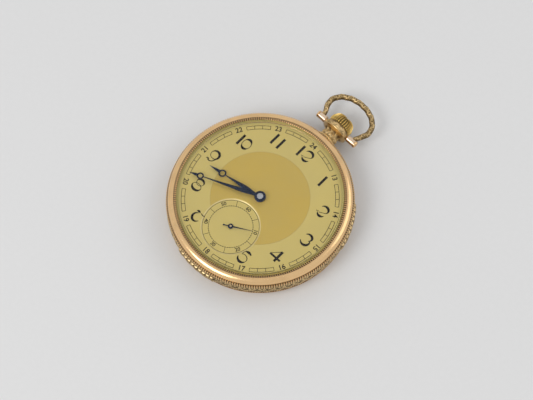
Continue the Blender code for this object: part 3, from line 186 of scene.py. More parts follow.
class WatchStageSizes(bpy.types.PropertyGroup):
    distance: length("Distance", "Camera to the middle of the dial", 471.1)
    focal: bpy.props.FloatProperty(name="Focal length", description="Lens, in millimetres",
                                   default=135.1, min=10.0)
    tilt: angle("Tilt", "Camera's height above the dial's plane", 67.64)
    heading: angle("Heading", "Turn of the camera round the dial", 46.958)
    roll: angle("Roll", "Turn of the camera round its own axis", 3.331)
    aim_right: length("Aim right", "View's middle right of the dial's middle", 1.492)
    aim_down: length("Aim down", "View's middle below the dial's middle", 0.4605)
    world_level: bpy.props.FloatProperty(name="World level", description="Light of the room",
                                         default=0.7, min=0.0)
    key_power: bpy.props.FloatProperty(name="Key power", description="Watts of the key lamp",
                                       default=2.0, min=0.0)
    fill_power: bpy.props.FloatProperty(name="Fill power", description="Watts of the fill lamp",
                                        default=0.5, min=0.0)


# ---- surfaces ------------------------------------------------------------------------------
def patch(points, around=True, loop=False, relief=None):
    """A grid of points[i, j]. around joins the last column to the first, loop the last row to
    the first. relief[i, j] says how high a point stands in its pattern, 1 being the crest."""
    if relief is None:
        relief = np.ones(points.shape[:2])
    return points, around, loop, relief


def quads_of(rows, columns, around, loop, first):
    """Four corner numbers for each cell of a grid of rows by columns points."""
    index = first + np.arange(rows * columns).reshape(rows, columns)
    low = index if loop else index[:-1]
    high = np.roll(index, -1, 0) if loop else index[1:]
    if around:
        cells = [low, high, np.roll(high, -1, 1), np.roll(low, -1, 1)]
    else:
        cells = [low[:, :-1], high[:, :-1], high[:, 1:], low[:, 1:]]
    return np.stack(cells, -1).reshape(-1, 4)


def piece(name, patches, material, body, replaced=(), sharp=35.0):
    """One object from closed patches: cells become quads, poles and seams are merged, faces are
    turned outwards, and edges sharper than the angle stay crisp."""
    points, quads, relief, first = [], [], [], 0
    for grid, around, loop, height in patches:
        rows, columns = grid.shape[:2]
        quads.append(quads_of(rows, columns, around, loop, first))
        points.append(grid.reshape(-1, 3))
        relief.append(np.broadcast_to(height, (rows, columns)).reshape(-1))
        first += rows * columns
    points, quads = np.concatenate(points) * MM, np.concatenate(quads)
    mesh = bpy.data.meshes.new(name)
    mesh.vertices.add(len(points))
    mesh.vertices.foreach_set("co", points.astype(np.float32).ravel())
    mesh.loops.add(quads.size)
    mesh.loops.foreach_set("vertex_index", quads.astype(np.int32).ravel())
    mesh.polygons.add(len(quads))
    mesh.polygons.foreach_set("loop_start", np.arange(0, quads.size, 4, dtype=np.int32))
    mesh.update(calc_edges=True)
    stored = mesh.attributes.new("relief", "FLOAT", "POINT")
    stored.data.foreach_set("value", np.concatenate(relief).astype(np.float32))
    return dress(name, mesh, material, body, replaced, sharp)


def dress(name, mesh, material, body, replaced=(), sharp=35.0):
    """Cleans a mesh, links it as an object, and gives it its finish, body and slot."""
    build = bmesh.new()
    build.from_mesh(mesh)
    bmesh.ops.remove_doubles(build, verts=build.verts, dist=0.0005 * MM)
    bmesh.ops.recalc_face_normals(build, faces=build.faces)
    build.to_mesh(mesh)
    build.free()
    mesh.shade_smooth()
    mesh.set_sharp_from_angle(angle=math.radians(sharp))
    made = bpy.data.objects.new(name, mesh)
    bpy.context.scene.collection.objects.link(made)
    mesh.materials.append(material)
    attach(made, body)
    if replaced:
        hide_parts(*replaced)
    return made


def turned(radius, height, axis="z", centre=(0.0, 0.0, 0.0)):
    """Surface of revolution: radius[i, j] and height[i, j] at the j-th of equal steps round the
    axis give (r cos t, r sin t, h), with h along the axis."""
    columns = radius.shape[1]
    t = TURN * np.arange(columns) / columns
    across, up = radius * np.cos(t), radius * np.sin(t)
    order = {"z": (across, up, height), "y": (across, height, up), "x": (height, across, up)}
    return np.stack(order[axis], -1) + np.array(centre)


def lathe(profile, columns, axis="z", centre=(0.0, 0.0, 0.0), loop=False):
    """Patch of a plain turned profile of (radius, height) points."""
    profile = np.array(profile, float)
    ones = np.ones(columns)
    return patch(turned(profile[:, :1] * ones, profile[:, 1:] * ones, axis, centre), loop=loop)


def smooth(points, samples):
    """Catmull-Rom curve through the points, with samples steps between each two."""
    points = np.array(points, float)
    ends = np.vstack([2 * points[0] - points[1], points, 2 * points[-1] - points[-2]])
    a, b, c, d = (ends[k:len(points) - 1 + k, None] for k in range(4))
    t = (np.arange(samples) / samples)[None, :, None]
    curve = 0.5 * (2 * b + (c - a) * t + (2 * a - 5 * b + 4 * c - d) * t ** 2
                   + (3 * b - a - 3 * c + d) * t ** 3)
    return np.vstack([curve.reshape(-1, points.shape[1]), points[-1:]])


def wave(values, period):
    """Half a cosine wave, 0 to 1, with its crest at 0."""
    return 0.5 + 0.5 * np.cos(TURN * values / period)


def bump_step(values, low, high, soft):
    """1 between low and high, falling to 0 over soft at both ends."""
    rise = np.clip((values - low) / soft + 0.5, 0, 1)
    fall = np.clip((high - values) / soft + 0.5, 0, 1)
    both = np.minimum(rise, fall)
    return both * both * (3 - 2 * both)


def leaf_scroll(along, across, pitch):
    """Chased leaves, 0 to 1: a stem that swings once in each pitch along the strip, with slanting
    leaves on both sides of it. across runs from 0 to 1 over the strip."""
    turn = TURN * along / pitch
    middle = 0.5 + 0.2 * np.sin(turn)
    off = across - middle
    stem = np.exp(-(off / 0.07) ** 2)
    leaves = wave(along - pitch * 0.55 * np.abs(off), pitch / 4.0) ** 0.7
    veins = 0.8 + 0.2 * np.cos(turn * 12 + 16 * off)
    spread = np.exp(-(off / 0.42) ** 4)
    return np.clip(np.maximum(stem, leaves * veins * spread), 0, 1)


# ---- case ----------------------------------------------------------------------------------
def bezel_patch(sizes):
    """The bezel's closed profile turned round the dial. Rows of the inner strip sink by the
    milling depth between teeth, and rows of the outer ring draw in by it."""
    foot, top = BEZEL_LOW[2], BEZEL_HIGH[2]
    outer, inner = BEZEL_HIGH[0], BEZEL_HIGH[0] - 2.5
    z_groove = CRYSTAL_LOW[2] - 0.05
    crystal_seat = CRYSTAL_HIGH[0] + 0.05
    z_lip = span("case_middle")[1][2] + 0.1
    ring = [(outer - 0.12, foot), (outer - 0.03, foot + 0.1), (outer, foot + 0.25),
            (outer, foot + 0.5), (outer - 0.04, foot + 0.66), (outer - 0.16, foot + 0.75),
            (outer - 0.42, foot + 0.74)]
    dome = smooth([(outer - 0.43, foot + 0.84), (outer - 0.48, foot + 1.2),
                   (outer - 0.68, foot + 1.66), (outer - 1.08, foot + 1.97),
                   (outer - 1.5, foot + 2.12), (outer - 1.85, foot + 2.15)], 4)
    strip = [(inner + 0.58, top - 0.12), (inner + 0.55, top - 0.02), (inner + 0.38, top - 0.05),
             (inner + 0.2, top - 0.1), (inner + 0.06, top - 0.17), (inner, top - 0.3)]
    inside = [(inner, z_groove + 0.48), (crystal_seat, z_groove + 0.48), (crystal_seat, z_groove),
              (crystal_seat - 0.2, z_groove), (crystal_seat - 0.2, Z_DIAL + 0.08),
              (BORE + 0.1, Z_DIAL + 0.08), (BORE + 0.1, z_lip), (SNAP, z_lip), (SNAP, foot)]
    profile = np.vstack([ring, dome, strip, inside])
    beads = np.array([0, 0.7, 1, 1, 1, 1, 1] + [0] * len(dome) + [0] * len(strip)
                     + [0] * len(inside), float)
    mill = np.array([0] * len(ring) + [0] * len(dome) + [0, 0.9, 1, 1, 1, 0.5]
                    + [0] * len(inside), float)
    columns = sizes.bezel_teeth * 6
    tooth = np.clip(1.7 * wave(np.arange(columns) / columns, 1 / sizes.bezel_teeth) - 0.35, 0, 1)
    depth = sizes.mill_depth / MM
    low = 1 - tooth
    radius = profile[:, :1] - depth * (beads[:, None] + 0.35 * mill[:, None]) * low
    height = profile[:, 1:] - depth * mill[:, None] * low
    relief = 1 - 1.2 * np.maximum(beads, mill)[:, None] * low
    groove = len(ring) - 1
    relief[groove:groove + 2] = 0.1
    relief[len(ring) + len(dome)] = 0.0
    return patch(turned(radius, height), loop=True, relief=relief)


def band_patch(sizes):
    """The band's closed profile turned round: reeds at its upper and lower edge, a line of pits
    under the upper reeds, and leaf scrolls between, with three raised cartouches and plain
    polished panels beside the pendant."""
    low, high = BEZEL_LOW[2] - 3.6, BEZEL_LOW[2] - 0.1
    columns = 1728
    rows = 44
    v = np.linspace(0, 1, rows)[:, None]
    t = TURN * np.arange(columns) / columns
    clockwise = (math.pi / 2 - t) % TURN
    arc = clockwise * CASE_RADIUS
    edge = 1 - np.clip(np.abs(2 * v - 1), 0, 1) ** 5
    base = CASE_RADIUS - 0.32 + 0.32 * edge - 0.3 * (1 - v) ** 8
    z = low + (high - low) * v
    leaves = leaf_scroll(arc[None, :], np.clip((v - 0.2) / 0.56, 0, 1),
                         TURN * CASE_RADIUS / round(TURN * CASE_RADIUS * MM / sizes.scroll_pitch))
    reed_pitch = TURN * CASE_RADIUS / sizes.bezel_teeth
    reeds = wave(arc[None, :], reed_pitch) * np.ones_like(v)
    pits = 1 - 0.95 * wave(arc[None, :], 2 * reed_pitch) ** 3 * np.ones_like(v)
    in_leaves = bump_step(v, 0.2, 0.76, 0.04)
    in_pits = bump_step(v, 0.77, 0.85, 0.03)
    in_reeds = bump_step(v, 0.86, 1.1, 0.03) + bump_step(v, -0.1, 0.17, 0.03)
    pattern = in_leaves * leaves + in_pits * pits + in_reeds * reeds
    pattern = pattern + (1 - np.clip(in_leaves + in_pits + in_reeds, 0, 1)) * 0.15
    degrees = np.degrees(clockwise)[None, :]
    plain = np.zeros_like(degrees)
    raised = np.zeros_like(degrees)
    half = math.degrees(sizes.panel_half_angle)
    for middle in (63.0, 180.0, 297.0):
        off = np.abs((degrees - middle + 180) % 360 - 180)
        raised = np.maximum(raised, bump_step(off, -1, half, 1.6))
    for middle in (39.8, 320.2):
        off = np.abs((degrees - middle + 180) % 360 - 180)
        plain = np.maximum(plain, bump_step(off, -1, 8.8, 0.8))
    pattern = pattern * (1 - plain * in_leaves) + plain * in_leaves
    lift = raised * bump_step(v, 0.16, 0.83, 0.1) * sizes.panel_rise / MM
    radius = base + lift - sizes.engraving_depth / MM * (1 - pattern)
    inner = np.array([(NECK, high), (NECK, BAND_HIGH[2]), (BORE, BAND_HIGH[2]),
                      (BORE, Z_LEDGE + 0.6), (LEDGE, Z_LEDGE + 0.6), (LEDGE, Z_LEDGE),
                      (BORE, Z_LEDGE), (BORE, BAND_LOW[2]), (NECK, BAND_LOW[2]), (NECK, low)])
    ones = np.ones(columns)
    radius = np.vstack([radius, inner[:, :1] * ones])
    height = np.vstack([z * ones, inner[:, 1:] * ones])
    relief = np.vstack([pattern, np.ones((len(inner), columns))])
    return patch(turned(radius, height), loop=True, relief=relief)


def back_patch(sizes):
    """The back cover's closed profile turned round, its shoulder engine-turned with crossing
    waves that swing as they run outwards."""
    rim = BACK_HIGH[2]
    outer = BACK_HIGH[0]
    flat = 13.5
    shoulder = smooth([(flat, 0), (flat + 2.0, 0.1), (flat + 4.0, 0.31), (flat + 6.4, 0.9),
                       (outer - 0.62, 1.6), (outer - 0.08, rim - 0.25), (outer, rim)], 14)
    centre = [(0, 0), (flat - 0.35, 0), (flat - 0.3, 0.06), (flat - 0.1, 0.06)]
    inside = [(SNAP, rim), (SNAP, rim - 0.8), (SNAP - 0.6, 1.41), (flat + 4.0, 0.86),
              (flat, 0.45), (0, 0.45)]
    profile = np.vstack([centre, shoulder, inside])
    columns = 960
    t = TURN * np.arange(columns) / columns
    r = profile[:, :1]
    turned_rows = np.zeros(len(profile))
    turned_rows[len(centre):len(centre) + len(shoulder)] = 1
    turned_rows = turned_rows[:, None] * bump_step(r, flat + 0.7, outer - 1.5, 0.5)
    swing = 1.4 * np.sin(TURN * r / 2.6)
    barley = 0.5 + 0.25 * (np.cos(sizes.barley_rows * t + swing)
                           + np.cos(sizes.barley_rows * t - swing))
    depth = turned_rows * (1 - barley) * sizes.barley_depth / MM
    relief = 1 - 0.8 * turned_rows * (1 - barley)
    return patch(turned(r * np.ones(columns), profile[:, 1:] + depth), relief=relief)


def crystal_patch():
    """The crystal's dome: both faces are circular arcs turned round, with a rim in the groove."""
    low, peak, rim = CRYSTAL_LOW[2], CRYSTAL_HIGH[2], CRYSTAL_HIGH[0]
    edge = rim - 0.36
    thick = 0.57
    t = np.linspace(0, 1, 24)
    outside = np.stack([(edge - 0.3) * t, peak - 0.85 * t ** 2], -1)
    inner = np.stack([(edge - 0.5) * t[::-1], peak - thick - 0.82 * t[::-1] ** 2], -1)
    rim_rows = smooth([(edge - 0.08, peak - 0.92), (edge, peak - 1.1), (edge, low + 0.45)], 4)
    seat = [(edge, low + 0.4), (rim, low + 0.4), (rim, low), (edge - 0.45, low)]
    return lathe(np.vstack([outside, rim_rows, seat, inner]), 160)


# ---- pendant, bow and crown ----------------------------------------------------------------
def pendant_patch(sizes):
    """The pendant's profile turned round the stem: flange, chased neck, flared skirt and the
    chased head that carries the bow."""
    start, end = PENDANT_LOW[1], PENDANT_HIGH[1]
    seat = CASE_RADIUS + 0.1
    head = PENDANT_HIGH[0]
    skirt = end - 1.8
    spigot = [(0.9, start), (1.1, start), (1.1, seat), (2.75, seat)]
    flange = smooth([(2.75, seat + 0.03), (2.78, seat + 0.2), (2.6, seat + 0.42)], 3)
    neck = smooth([(2.32, seat + 0.5), (2.12, seat + 0.85), (2.26, seat + 1.3),
                   (2.12, skirt - 0.95), (2.2, skirt - 0.6), (2.75, skirt - 0.2),
                   (head - 0.06, skirt + 0.1)], 5)
    drum = smooth([(head, skirt + 0.22), (head - 0.12, skirt + 0.4), (head - 0.02, skirt + 1.1),
                   (head - 0.14, end - 0.35), (head - 0.45, end - 0.05)], 6)
    hollow = [(head - 0.6, end), (1.75, end), (1.75, end - 0.95), (0.9, end - 0.95)]
    profile = np.vstack([spigot, flange, neck, drum, hollow])
    columns = 288
    y = profile[:, 1:]
    around = TURN * np.arange(columns) / columns
    chased = bump_step(y, seat + 0.6, skirt - 0.25, 0.2) + bump_step(y, skirt + 0.3, end - 0.05, 0.2)
    in_wall = (profile[:, :1] > 2.0) & (y < end - 0.02)
    chased = chased * in_wall
    across = np.where(y < skirt, (y - seat) / (skirt - seat), (y - skirt) / (end - skirt))
    leaves = leaf_scroll(around[None, :] * head, across, TURN * head / 9)
    radius = profile[:, :1] - sizes.bow_depth / MM * chased * (1 - leaves)
    relief = 1 - 0.9 * chased * (1 - leaves)
    grid = turned(radius, y * np.ones(columns), "y", (0, 0, Z_STEM))
    return patch(grid, loop=True, relief=relief)


def crown_patch(sizes):
    """The crown's dome turned round the stem. Flutes draw its wall in, and they run out at the
    middle of the top."""
    start, end = CROWN_LOW[1] + 0.9, CROWN_HIGH[1]
    rim = CROWN_HIGH[0]
    dome = smooth([(rim - 0.2, start + 0.02), (rim - 0.02, start + 0.35), (rim, start + 0.95),
                   (rim * 0.93, start + 1.55), (rim * 0.74, end - 0.32), (rim * 0.45, end - 0.1),
                   (rim * 0.2, end - 0.02), (0, end)], 7)
    hub = [(0.55, CROWN_LOW[1]), (1.6, CROWN_LOW[1]), (1.6, start), (rim - 0.35, start)]
    bore = [(0, start + 0.75), (0.55, start + 0.75)]
    profile = np.vstack([bore, hub, dome])
    columns = sizes.crown_flutes * 12
    turn = np.clip(1.5 * wave(np.arange(columns) / columns, 1 / sizes.crown_flutes) - 0.3, 0, 1)
    weight = np.concatenate([np.zeros(len(bore) + len(hub)), np.ones(len(dome))])[:, None]
    weight = weight * np.clip((profile[:, :1] - 0.7) / 1.1, 0, 1)
    radius = profile[:, :1] - sizes.flute_depth / MM * weight * (1 - turn)
    height = profile[:, 1:] - 0.6 * sizes.flute_depth / MM * weight * (1 - turn) * (
        profile[:, 1:] > start + 1.5)
    relief = 1 - 1.2 * weight * (1 - turn)
    return patch(turned(radius, height, "y", (0, 0, Z_STEM)), relief=relief)


def bow_path():
    """The bow's centre line in its own plane: straight up from each eye, easing into an oval
    whose middle is half way to the bow's top."""
    wire = bpy.context.scene.watch_fitting.bow_wire / MM
    reach = BOW_HIGH[1] - BOW_PIVOT[1] - wire
    wide, tall = BOW_HIGH[0] - wire, reach / 2
    eye = abs(span("bow_screw_right")[1][0]) - 1.35
    t = np.linspace(math.radians(-12), math.radians(90), 60)
    oval = np.stack([wide * np.cos(t), tall + tall * np.sin(t)], -1)
    first, heading = oval[0], np.array([wide * math.sin(math.radians(12)),
                                        tall * math.cos(math.radians(12))])
    foot, up = np.array([eye, 0.2]), np.array([0.0, 1.0])
    s = np.linspace(0, 1, 20)[:-1, None]
    hermite = ((2 * s ** 3 - 3 * s ** 2 + 1) * foot + (s ** 3 - 2 * s ** 2 + s) * up * 3.0
               + (3 * s ** 2 - 2 * s ** 3) * first + (s ** 3 - s ** 2) * heading * 0.7)
    half = np.vstack([hermite, oval])
    return np.vstack([half, half[-2::-1] * (-1, 1)])


def bow_patches(sizes):
    """A chased wire carried along the bow's path, thinned at its ends, and two turned tubes."""
    path = bow_path()
    step = np.linalg.norm(np.diff(path, axis=0), axis=1)
    along = np.concatenate([[0], np.cumsum(step)])
    even = np.linspace(0, along[-1], 300)
    path = np.stack([np.interp(even, along, path[:, 0]), np.interp(even, along, path[:, 1])], -1)
    run = np.gradient(path, axis=0)
    run /= np.linalg.norm(run, axis=1)[:, None]
    side = np.stack([-run[:, 1], run[:, 0]], -1)
    columns = 40
    a = TURN * np.arange(columns) / columns
    wire = sizes.bow_wire / MM
    end = np.minimum(even, even[-1] - even)[:, None]
    slim = 0.8 + 0.2 * np.clip(end / 3.0, 0, 1)
    turns = max(round(even[-1] * MM / sizes.bow_scroll), 1)
    pitch = even[-1] / turns
    leaves = leaf_scroll(even[:, None], (np.abs((a / math.pi) % 2 - 1))[None, :], pitch)
    cuts = wave(even[:, None] + 0.22 * wire * a[None, :] * pitch, pitch / 3) ** 0.5
    relief = np.clip(1.5 * (0.7 * leaves + 0.3 * cuts) - 0.4, 0, 1)
    radius = wire * slim - sizes.bow_depth / MM * (1 - relief)
    radius[0], radius[-1] = 0, 0
    across = radius * np.cos(a)
    x = path[:, :1] + side[:, :1] * across
    y = path[:, 1:] + side[:, 1:] * across + BOW_PIVOT[1]
    z = radius * np.sin(a) + Z_STEM
    wire_patch = patch(np.stack([x, y, z], -1), relief=relief)
    screw_in = abs(span("bow_screw_right")[1][0]) - 0.5
    radius_out = 0.87
    inner = PENDANT_HIGH[0] + 0.1
    tube = [(0.47, inner), (radius_out - 0.1, inner), (radius_out, inner + 0.08),
            (radius_out, screw_in - 0.08), (radius_out - 0.08, screw_in), (0.47, screw_in)]
    centre = (0, BOW_PIVOT[1], Z_STEM)
    tubes = [lathe(tube, 40, "x", centre, loop=True),
             lathe([(r, -x_) for r, x_ in tube], 40, "x", centre, loop=True)]
    return wire_patch, tubes


def bow_screw_patch(direction):
    """A bow screw: plain shank and a low domed head with a bevelled edge."""
    tip = abs(span("bow_screw_right")[0][0])
    face = abs(span("bow_screw_right")[1][0])
    profile = [(0, tip), (0.42, tip), (0.42, face - 0.45), (0.84, face - 0.45),
               (0.87, face - 0.42), (0.87, face - 0.16), (0.8, face - 0.06), (0.5, face - 0.01),
               (0.44, face - 0.06), (0.16, face - 0.06), (0.1, face), (0, face)]
    mirrored = [(radius, direction * x) for radius, x in profile]
    return lathe(mirrored, 32, "x", (0, BOW_PIVOT[1], Z_STEM))


# ---- dial ----------------------------------------------------------------------------------
def dial_patch(sizes):
    """The dial: circles whose centres pass from the seconds sink to the hand arbor, so that one
    surface holds the sink's floor, its bevel, the face, the rim and the underside."""
    sink, depth = sizes.sink_radius / MM, sizes.sink_depth / MM
    rim = DIAL_HIGH[0]
    rows = [(0, Z_DIAL - depth, 0), (sink * 0.5, Z_DIAL - depth, 0),
            (sink - 0.22, Z_DIAL - depth, 0), (sink - 0.03, Z_DIAL - 0.03, 0),
            (sink + 0.02, Z_DIAL, 0)]
    rows += [(sink + (rim - sink) * s, Z_DIAL, s) for s in np.linspace(0.02, 1, 12)]
    rows += [(rim, DIAL_LOW[2] + 0.02, 1), (0, DIAL_LOW[2] + 0.02, 1)]
    radius, height, shift = (np.array(column)[:, None] for column in zip(*rows))
    grid = turned(radius * np.ones(256), height * np.ones(256))
    grid[..., 0] += SECONDS_CENTRE[0] * (1 - shift)
    grid[..., 1] += SECONDS_CENTRE[1] * (1 - shift)
    return patch(grid)


def stroke(path, half, z, height):
    """A flat printed stroke: its four-cornered section is carried along path[n] with half width
    half[n], and both ends close on a point."""
    path, half = np.array(path, float), np.array(half, float) * np.ones(len(path))
    run = np.gradient(path, axis=0)
    run /= np.maximum(np.linalg.norm(run, axis=1), 1e-9)[:, None]
    side = np.stack([-run[:, 1], run[:, 0]], -1) * half[:, None]
    low, high = np.full(len(path), z - height), np.full(len(path), z + height)
    corners = [np.column_stack([path + side, low]), np.column_stack([path + side, high]),
               np.column_stack([path - side, high]), np.column_stack([path - side, low])]
    grid = np.stack(corners, 1)
    tips = np.column_stack([path[[0, -1]], [z, z]])[:, None, :] * np.ones((1, 4, 1))
    return patch(np.concatenate([tips[:1], grid, tips[1:]]))


def arc(centre, radii, start, stop, widths, samples=24):
    """Points along an elliptical arc, degrees counter-clockwise from +X, with half widths that
    pass through the three given values."""
    t = np.linspace(0, 1, samples)
    turn = np.radians(start + (stop - start) * t)
    path = np.stack([centre[0] + radii[0] * np.cos(turn), centre[1] + radii[1] * np.sin(turn)], -1)
    first, middle, last = widths
    swell = np.sin(math.pi * t) ** 1.3
    half = (first + (last - first) * t) * (1 - swell) + middle * swell
    return path, half


def line(start, stop, first, last=None):
    """Points and half widths of a straight stroke."""
    last = first if last is None else last
    t = np.linspace(0, 1, 6)[:, None]
    path = np.array(start) * (1 - t) + np.array(stop) * t
    return path, (first * (1 - t) + last * t)[:, 0]


HEAVY, FINE_LINE = 0.31, 0.07
FIGURES = {
    "0": [arc((0, 0), (1.08, 1.32), 28, 152, (FINE_LINE, HEAVY, FINE_LINE)),
          arc((0, 0), (1.08, 1.32), 208, 332, (FINE_LINE, HEAVY, FINE_LINE)),
          arc((0, 0), (1.08, 1.32), 152, 208, (FINE_LINE,) * 3),
          arc((0, 0), (1.08, 1.32), -28, 28, (FINE_LINE,) * 3)],
    "1": [line((0, -1.55), (0, 1.55), HEAVY)],
    "2": [arc((0.1, 0.55), (1.05, 0.85), 165, -40, (FINE_LINE, HEAVY, FINE_LINE)),
          line((0.9, 0.0), (-0.55, -0.75), FINE_LINE),
          arc((0.1, -0.15), (1.15, 1.25), 215, 330, (FINE_LINE, HEAVY, FINE_LINE)),
          arc((-1.15, -0.3), (0.45, 0.45), 250, 330, (FINE_LINE,) * 3)],
    "3": [arc((0.05, 0.62), (1.0, 0.82), 160, -55, (FINE_LINE, HEAVY, FINE_LINE)),
          arc((0.05, -0.45), (1.15, 1.05), 50, -155, (FINE_LINE, HEAVY, 0.1))],
    "4": [line((0.45, -1.55), (0.45, 1.55), HEAVY),
          line((-1.6, -0.6), (1.5, -0.6), HEAVY * 0.8, HEAVY * 0.8),
          line((0.4, 1.5), (-1.5, -0.5), FINE_LINE)],
    "5": [arc((0.3, 0.6), (1.25, 0.95), 140, 50, (FINE_LINE, HEAVY, 0.12)),
          line((-0.66, 1.15), (-0.85, 0.35), FINE_LINE),
          arc((0.0, -0.45), (1.15, 1.0), 135, -20, (FINE_LINE, 0.1, FINE_LINE)),
          arc((0.0, -0.45), (1.15, 1.05), 190, 345, (0.1, HEAVY, FINE_LINE))],
    "7": [arc((-0.6, 0.45), (0.8, 0.65), 135, 50, (0.08, HEAVY * 0.9, FINE_LINE)),
          arc((0.75, 1.75), (1.0, 0.85), 230, 300, (FINE_LINE, 0.12, FINE_LINE)),
          arc((-0.1, -0.35), (1.05, 1.1), 110, 340, (0.1, HEAVY, FINE_LINE))],
    "8": [arc((0.0, 0.75), (0.95, 0.75), -15, 195, (FINE_LINE, HEAVY * 0.9, FINE_LINE)),
          arc((0.0, -0.6), (1.2, 0.95), 165, 375, (FINE_LINE, HEAVY, FINE_LINE)),
          arc((0.0, 0.75), (0.95, 0.9), 195, 345, (FINE_LINE,) * 3),
          arc((0.0, -0.6), (1.2, 0.85), 15, 165, (FINE_LINE,) * 3)],
    "9": [arc((0.0, 0.45), (1.1, 1.1), 175, -75, (FINE_LINE, HEAVY, FINE_LINE)),
          arc((0.0, 0.45), (1.1, 1.0), 175, 300, (FINE_LINE,) * 3),
          arc((-0.35, -0.1), (1.25, 1.45), -10, -110, (0.1, 0.12, FINE_LINE)),
          arc((-0.75, -1.45), (0.35, 0.25), 0, 180, (0.08, 0.14, 0.08))],
}
HOURS = {"1": [("1", 7.8, 13.15)], "2": [("2", 13.0, 7.6)], "3": [("3", 15.1, -0.15)],
         "4": [("4", 12.9, -7.75)], "5": [("5", 7.5, -13.3)], "7": [("7", -7.4, -13.4)],
         "8": [("8", -12.95, -7.6)], "9": [("9", -15.4, 0.1)],
         "10": [("1", -13.75, 7.7), ("0", -11.9, 7.7)],
         "11": [("1", -8.0, 13.35), ("1", -6.05, 13.35)],
         "12": [("1", -1.4, 15.35), ("2", 0.7, 15.35)]}


def hour_strokes(sizes):
    """Each hour's figures, drawn upright at their places on the chapter ring."""
    height = sizes.ink_height / MM
    return [stroke(path + (x, y), half, Z_DIAL, height)
            for figures in HOURS.values() for figure, x, y in figures
            for path, half in FIGURES[figure]]


def circle_line(centre, radius, width, z, height, columns=240):
    """A printed circle: a four-cornered section turned round its centre."""
    half = width / 2
    profile = [(radius + half, z - height), (radius + half, z + height),
               (radius - half, z + height), (radius - half, z - height)]
    return lathe(profile, columns, "z", (centre[0], centre[1], 0), loop=True)


def radial(centre, clockwise, inner, outer, half, z, height):
    """A printed tick along a radius, at an angle clockwise from 12."""
    turn = math.radians(clockwise)
    away = np.array([math.sin(turn), math.cos(turn)])
    path, widths = line(np.array(centre) + away * inner, np.array(centre) + away * outer, half)
    return stroke(path, widths, z, height)


def track_patches(sizes):
    """Minute track: between each two hours four ticks make three boxes, closed by two arcs. The
    seconds track is a ring, a dotted circle and six ticks on the sink's floor."""
    width, height = sizes.ink_width / MM, sizes.ink_height / MM
    inner, outer = sizes.track_inner / MM, sizes.track_outer / MM
    parts = []
    for hour in range(12):
        for minute in range(1, 5):
            parts.append(radial((0, 0), 30 * hour + 6 * minute, inner, outer, width / 2,
                                Z_DIAL, height))
        start, stop = 90 - 30 * hour - 6, 90 - 30 * hour - 24
        for radius in (inner, outer):
            path, half = arc((0, 0), (radius, radius), start, stop, (width / 2,) * 3, 16)
            parts.append(stroke(path, half, Z_DIAL, height))
    floor = Z_DIAL - sizes.sink_depth / MM
    ring, dots = sizes.seconds_outer / MM, sizes.seconds_inner / MM
    parts.append(circle_line(SECONDS_CENTRE, ring, width * 0.8, floor, height))
    parts.append(circle_line(SECONDS_CENTRE, dots, width * 0.45, floor, height))
    for second in range(60):
        parts.append(radial(SECONDS_CENTRE, 6 * second, dots - 0.11, dots + 0.11, 0.085,
                            floor, height))
    for tick in (30, 90, 150, 210, 270, 330):
        parts.append(radial(SECONDS_CENTRE, tick, dots, ring, width * 0.4, floor, height))
    return parts


def figures_mesh(name, labels):
    """Small figures as one mesh. Each label is (text, size, place, turn in degrees, z, height)."""
    build = bmesh.new()
    for text, size, place, turn, z, height in labels:
        curve = bpy.data.curves.new(name, "FONT")
        curve.body = text
        curve.size = size
        curve.align_x = "CENTER"
        curve.align_y = "CENTER"
        curve.extrude = height
        curve.offset = 0.02 * size
        writer = bpy.data.objects.new(name, curve)
        bpy.context.scene.collection.objects.link(writer)
        bpy.context.view_layer.update()
        mesh = bpy.data.meshes.new_from_object(writer)
        where = Matrix.Translation((place[0], place[1], z)) @ Matrix.Rotation(
            math.radians(turn), 4, "Z")
        mesh.transform(Matrix.Scale(MM, 4) @ where)
        build.from_mesh(mesh)
        bpy.data.objects.remove(writer)
        bpy.data.curves.remove(curve)
        bpy.data.meshes.remove(mesh)
    mesh = bpy.data.meshes.new(name)
    build.to_mesh(mesh)
    build.free()
    mesh.attributes.new("relief", "FLOAT", "POINT").data.foreach_set(
        "value", np.ones(len(mesh.vertices), np.float32))
    return mesh


def small_figures(sizes):
    """13 to 24 in the minute track, turned to read from outside at the top and from inside at
    the bottom, and the tens of seconds round the sink."""
    height = sizes.ink_height / MM
    middle = (sizes.track_inner + sizes.track_outer) / 2 / MM
    labels = []
    for hour in range(13, 25):
        clockwise = 30 * (hour - 12)
        turn = math.radians(clockwise)
        place = (middle * math.sin(turn), middle * math.cos(turn))
        inward = 16 <= hour <= 20
        labels.append((str(hour), 1.7, place, -clockwise + 180 * inward, Z_DIAL, height))
    floor = Z_DIAL - sizes.sink_depth / MM
    between = (sizes.seconds_outer + sizes.seconds_inner) / 2 / MM
    for second in range(10, 70, 10):
        clockwise = 6 * second
        turn = math.radians(clockwise)
        place = (SECONDS_CENTRE[0] + between * math.sin(turn),
                 SECONDS_CENTRE[1] + between * math.cos(turn))
        inward = 90 < clockwise < 270
        labels.append((str(second), 1.25, place, -clockwise + 180 * inward, floor, height * 0.6))
    return figures_mesh("dial_small_figures", labels)


# ---- hands ---------------------------------------------------------------------------------
def blade(points, low, high, clockwise, centre=(0.0, 0.0)):
    """A hand's arched blade: (distance, half width) points carried out along the hand's line."""
    points = np.array(points, float)
    distance, half = points[:, :1], points[:, 1:]
    across = np.array([-1, -0.92, -0.5, 0, 0.5, 0.92, 1, 0.9, -0.9])
    up = np.array([0.3, 0.62, 0.88, 1, 0.88, 0.62, 0.3, 0, 0])
    side = half * across
    turn = -clockwise
    x = centre[0] + side * math.cos(turn) - distance * math.sin(turn)
    y = centre[1] + side * math.sin(turn) + distance * math.cos(turn)
    z = low + (high - low) * up * np.ones_like(side)
    return patch(np.stack([x, y, z], -1))


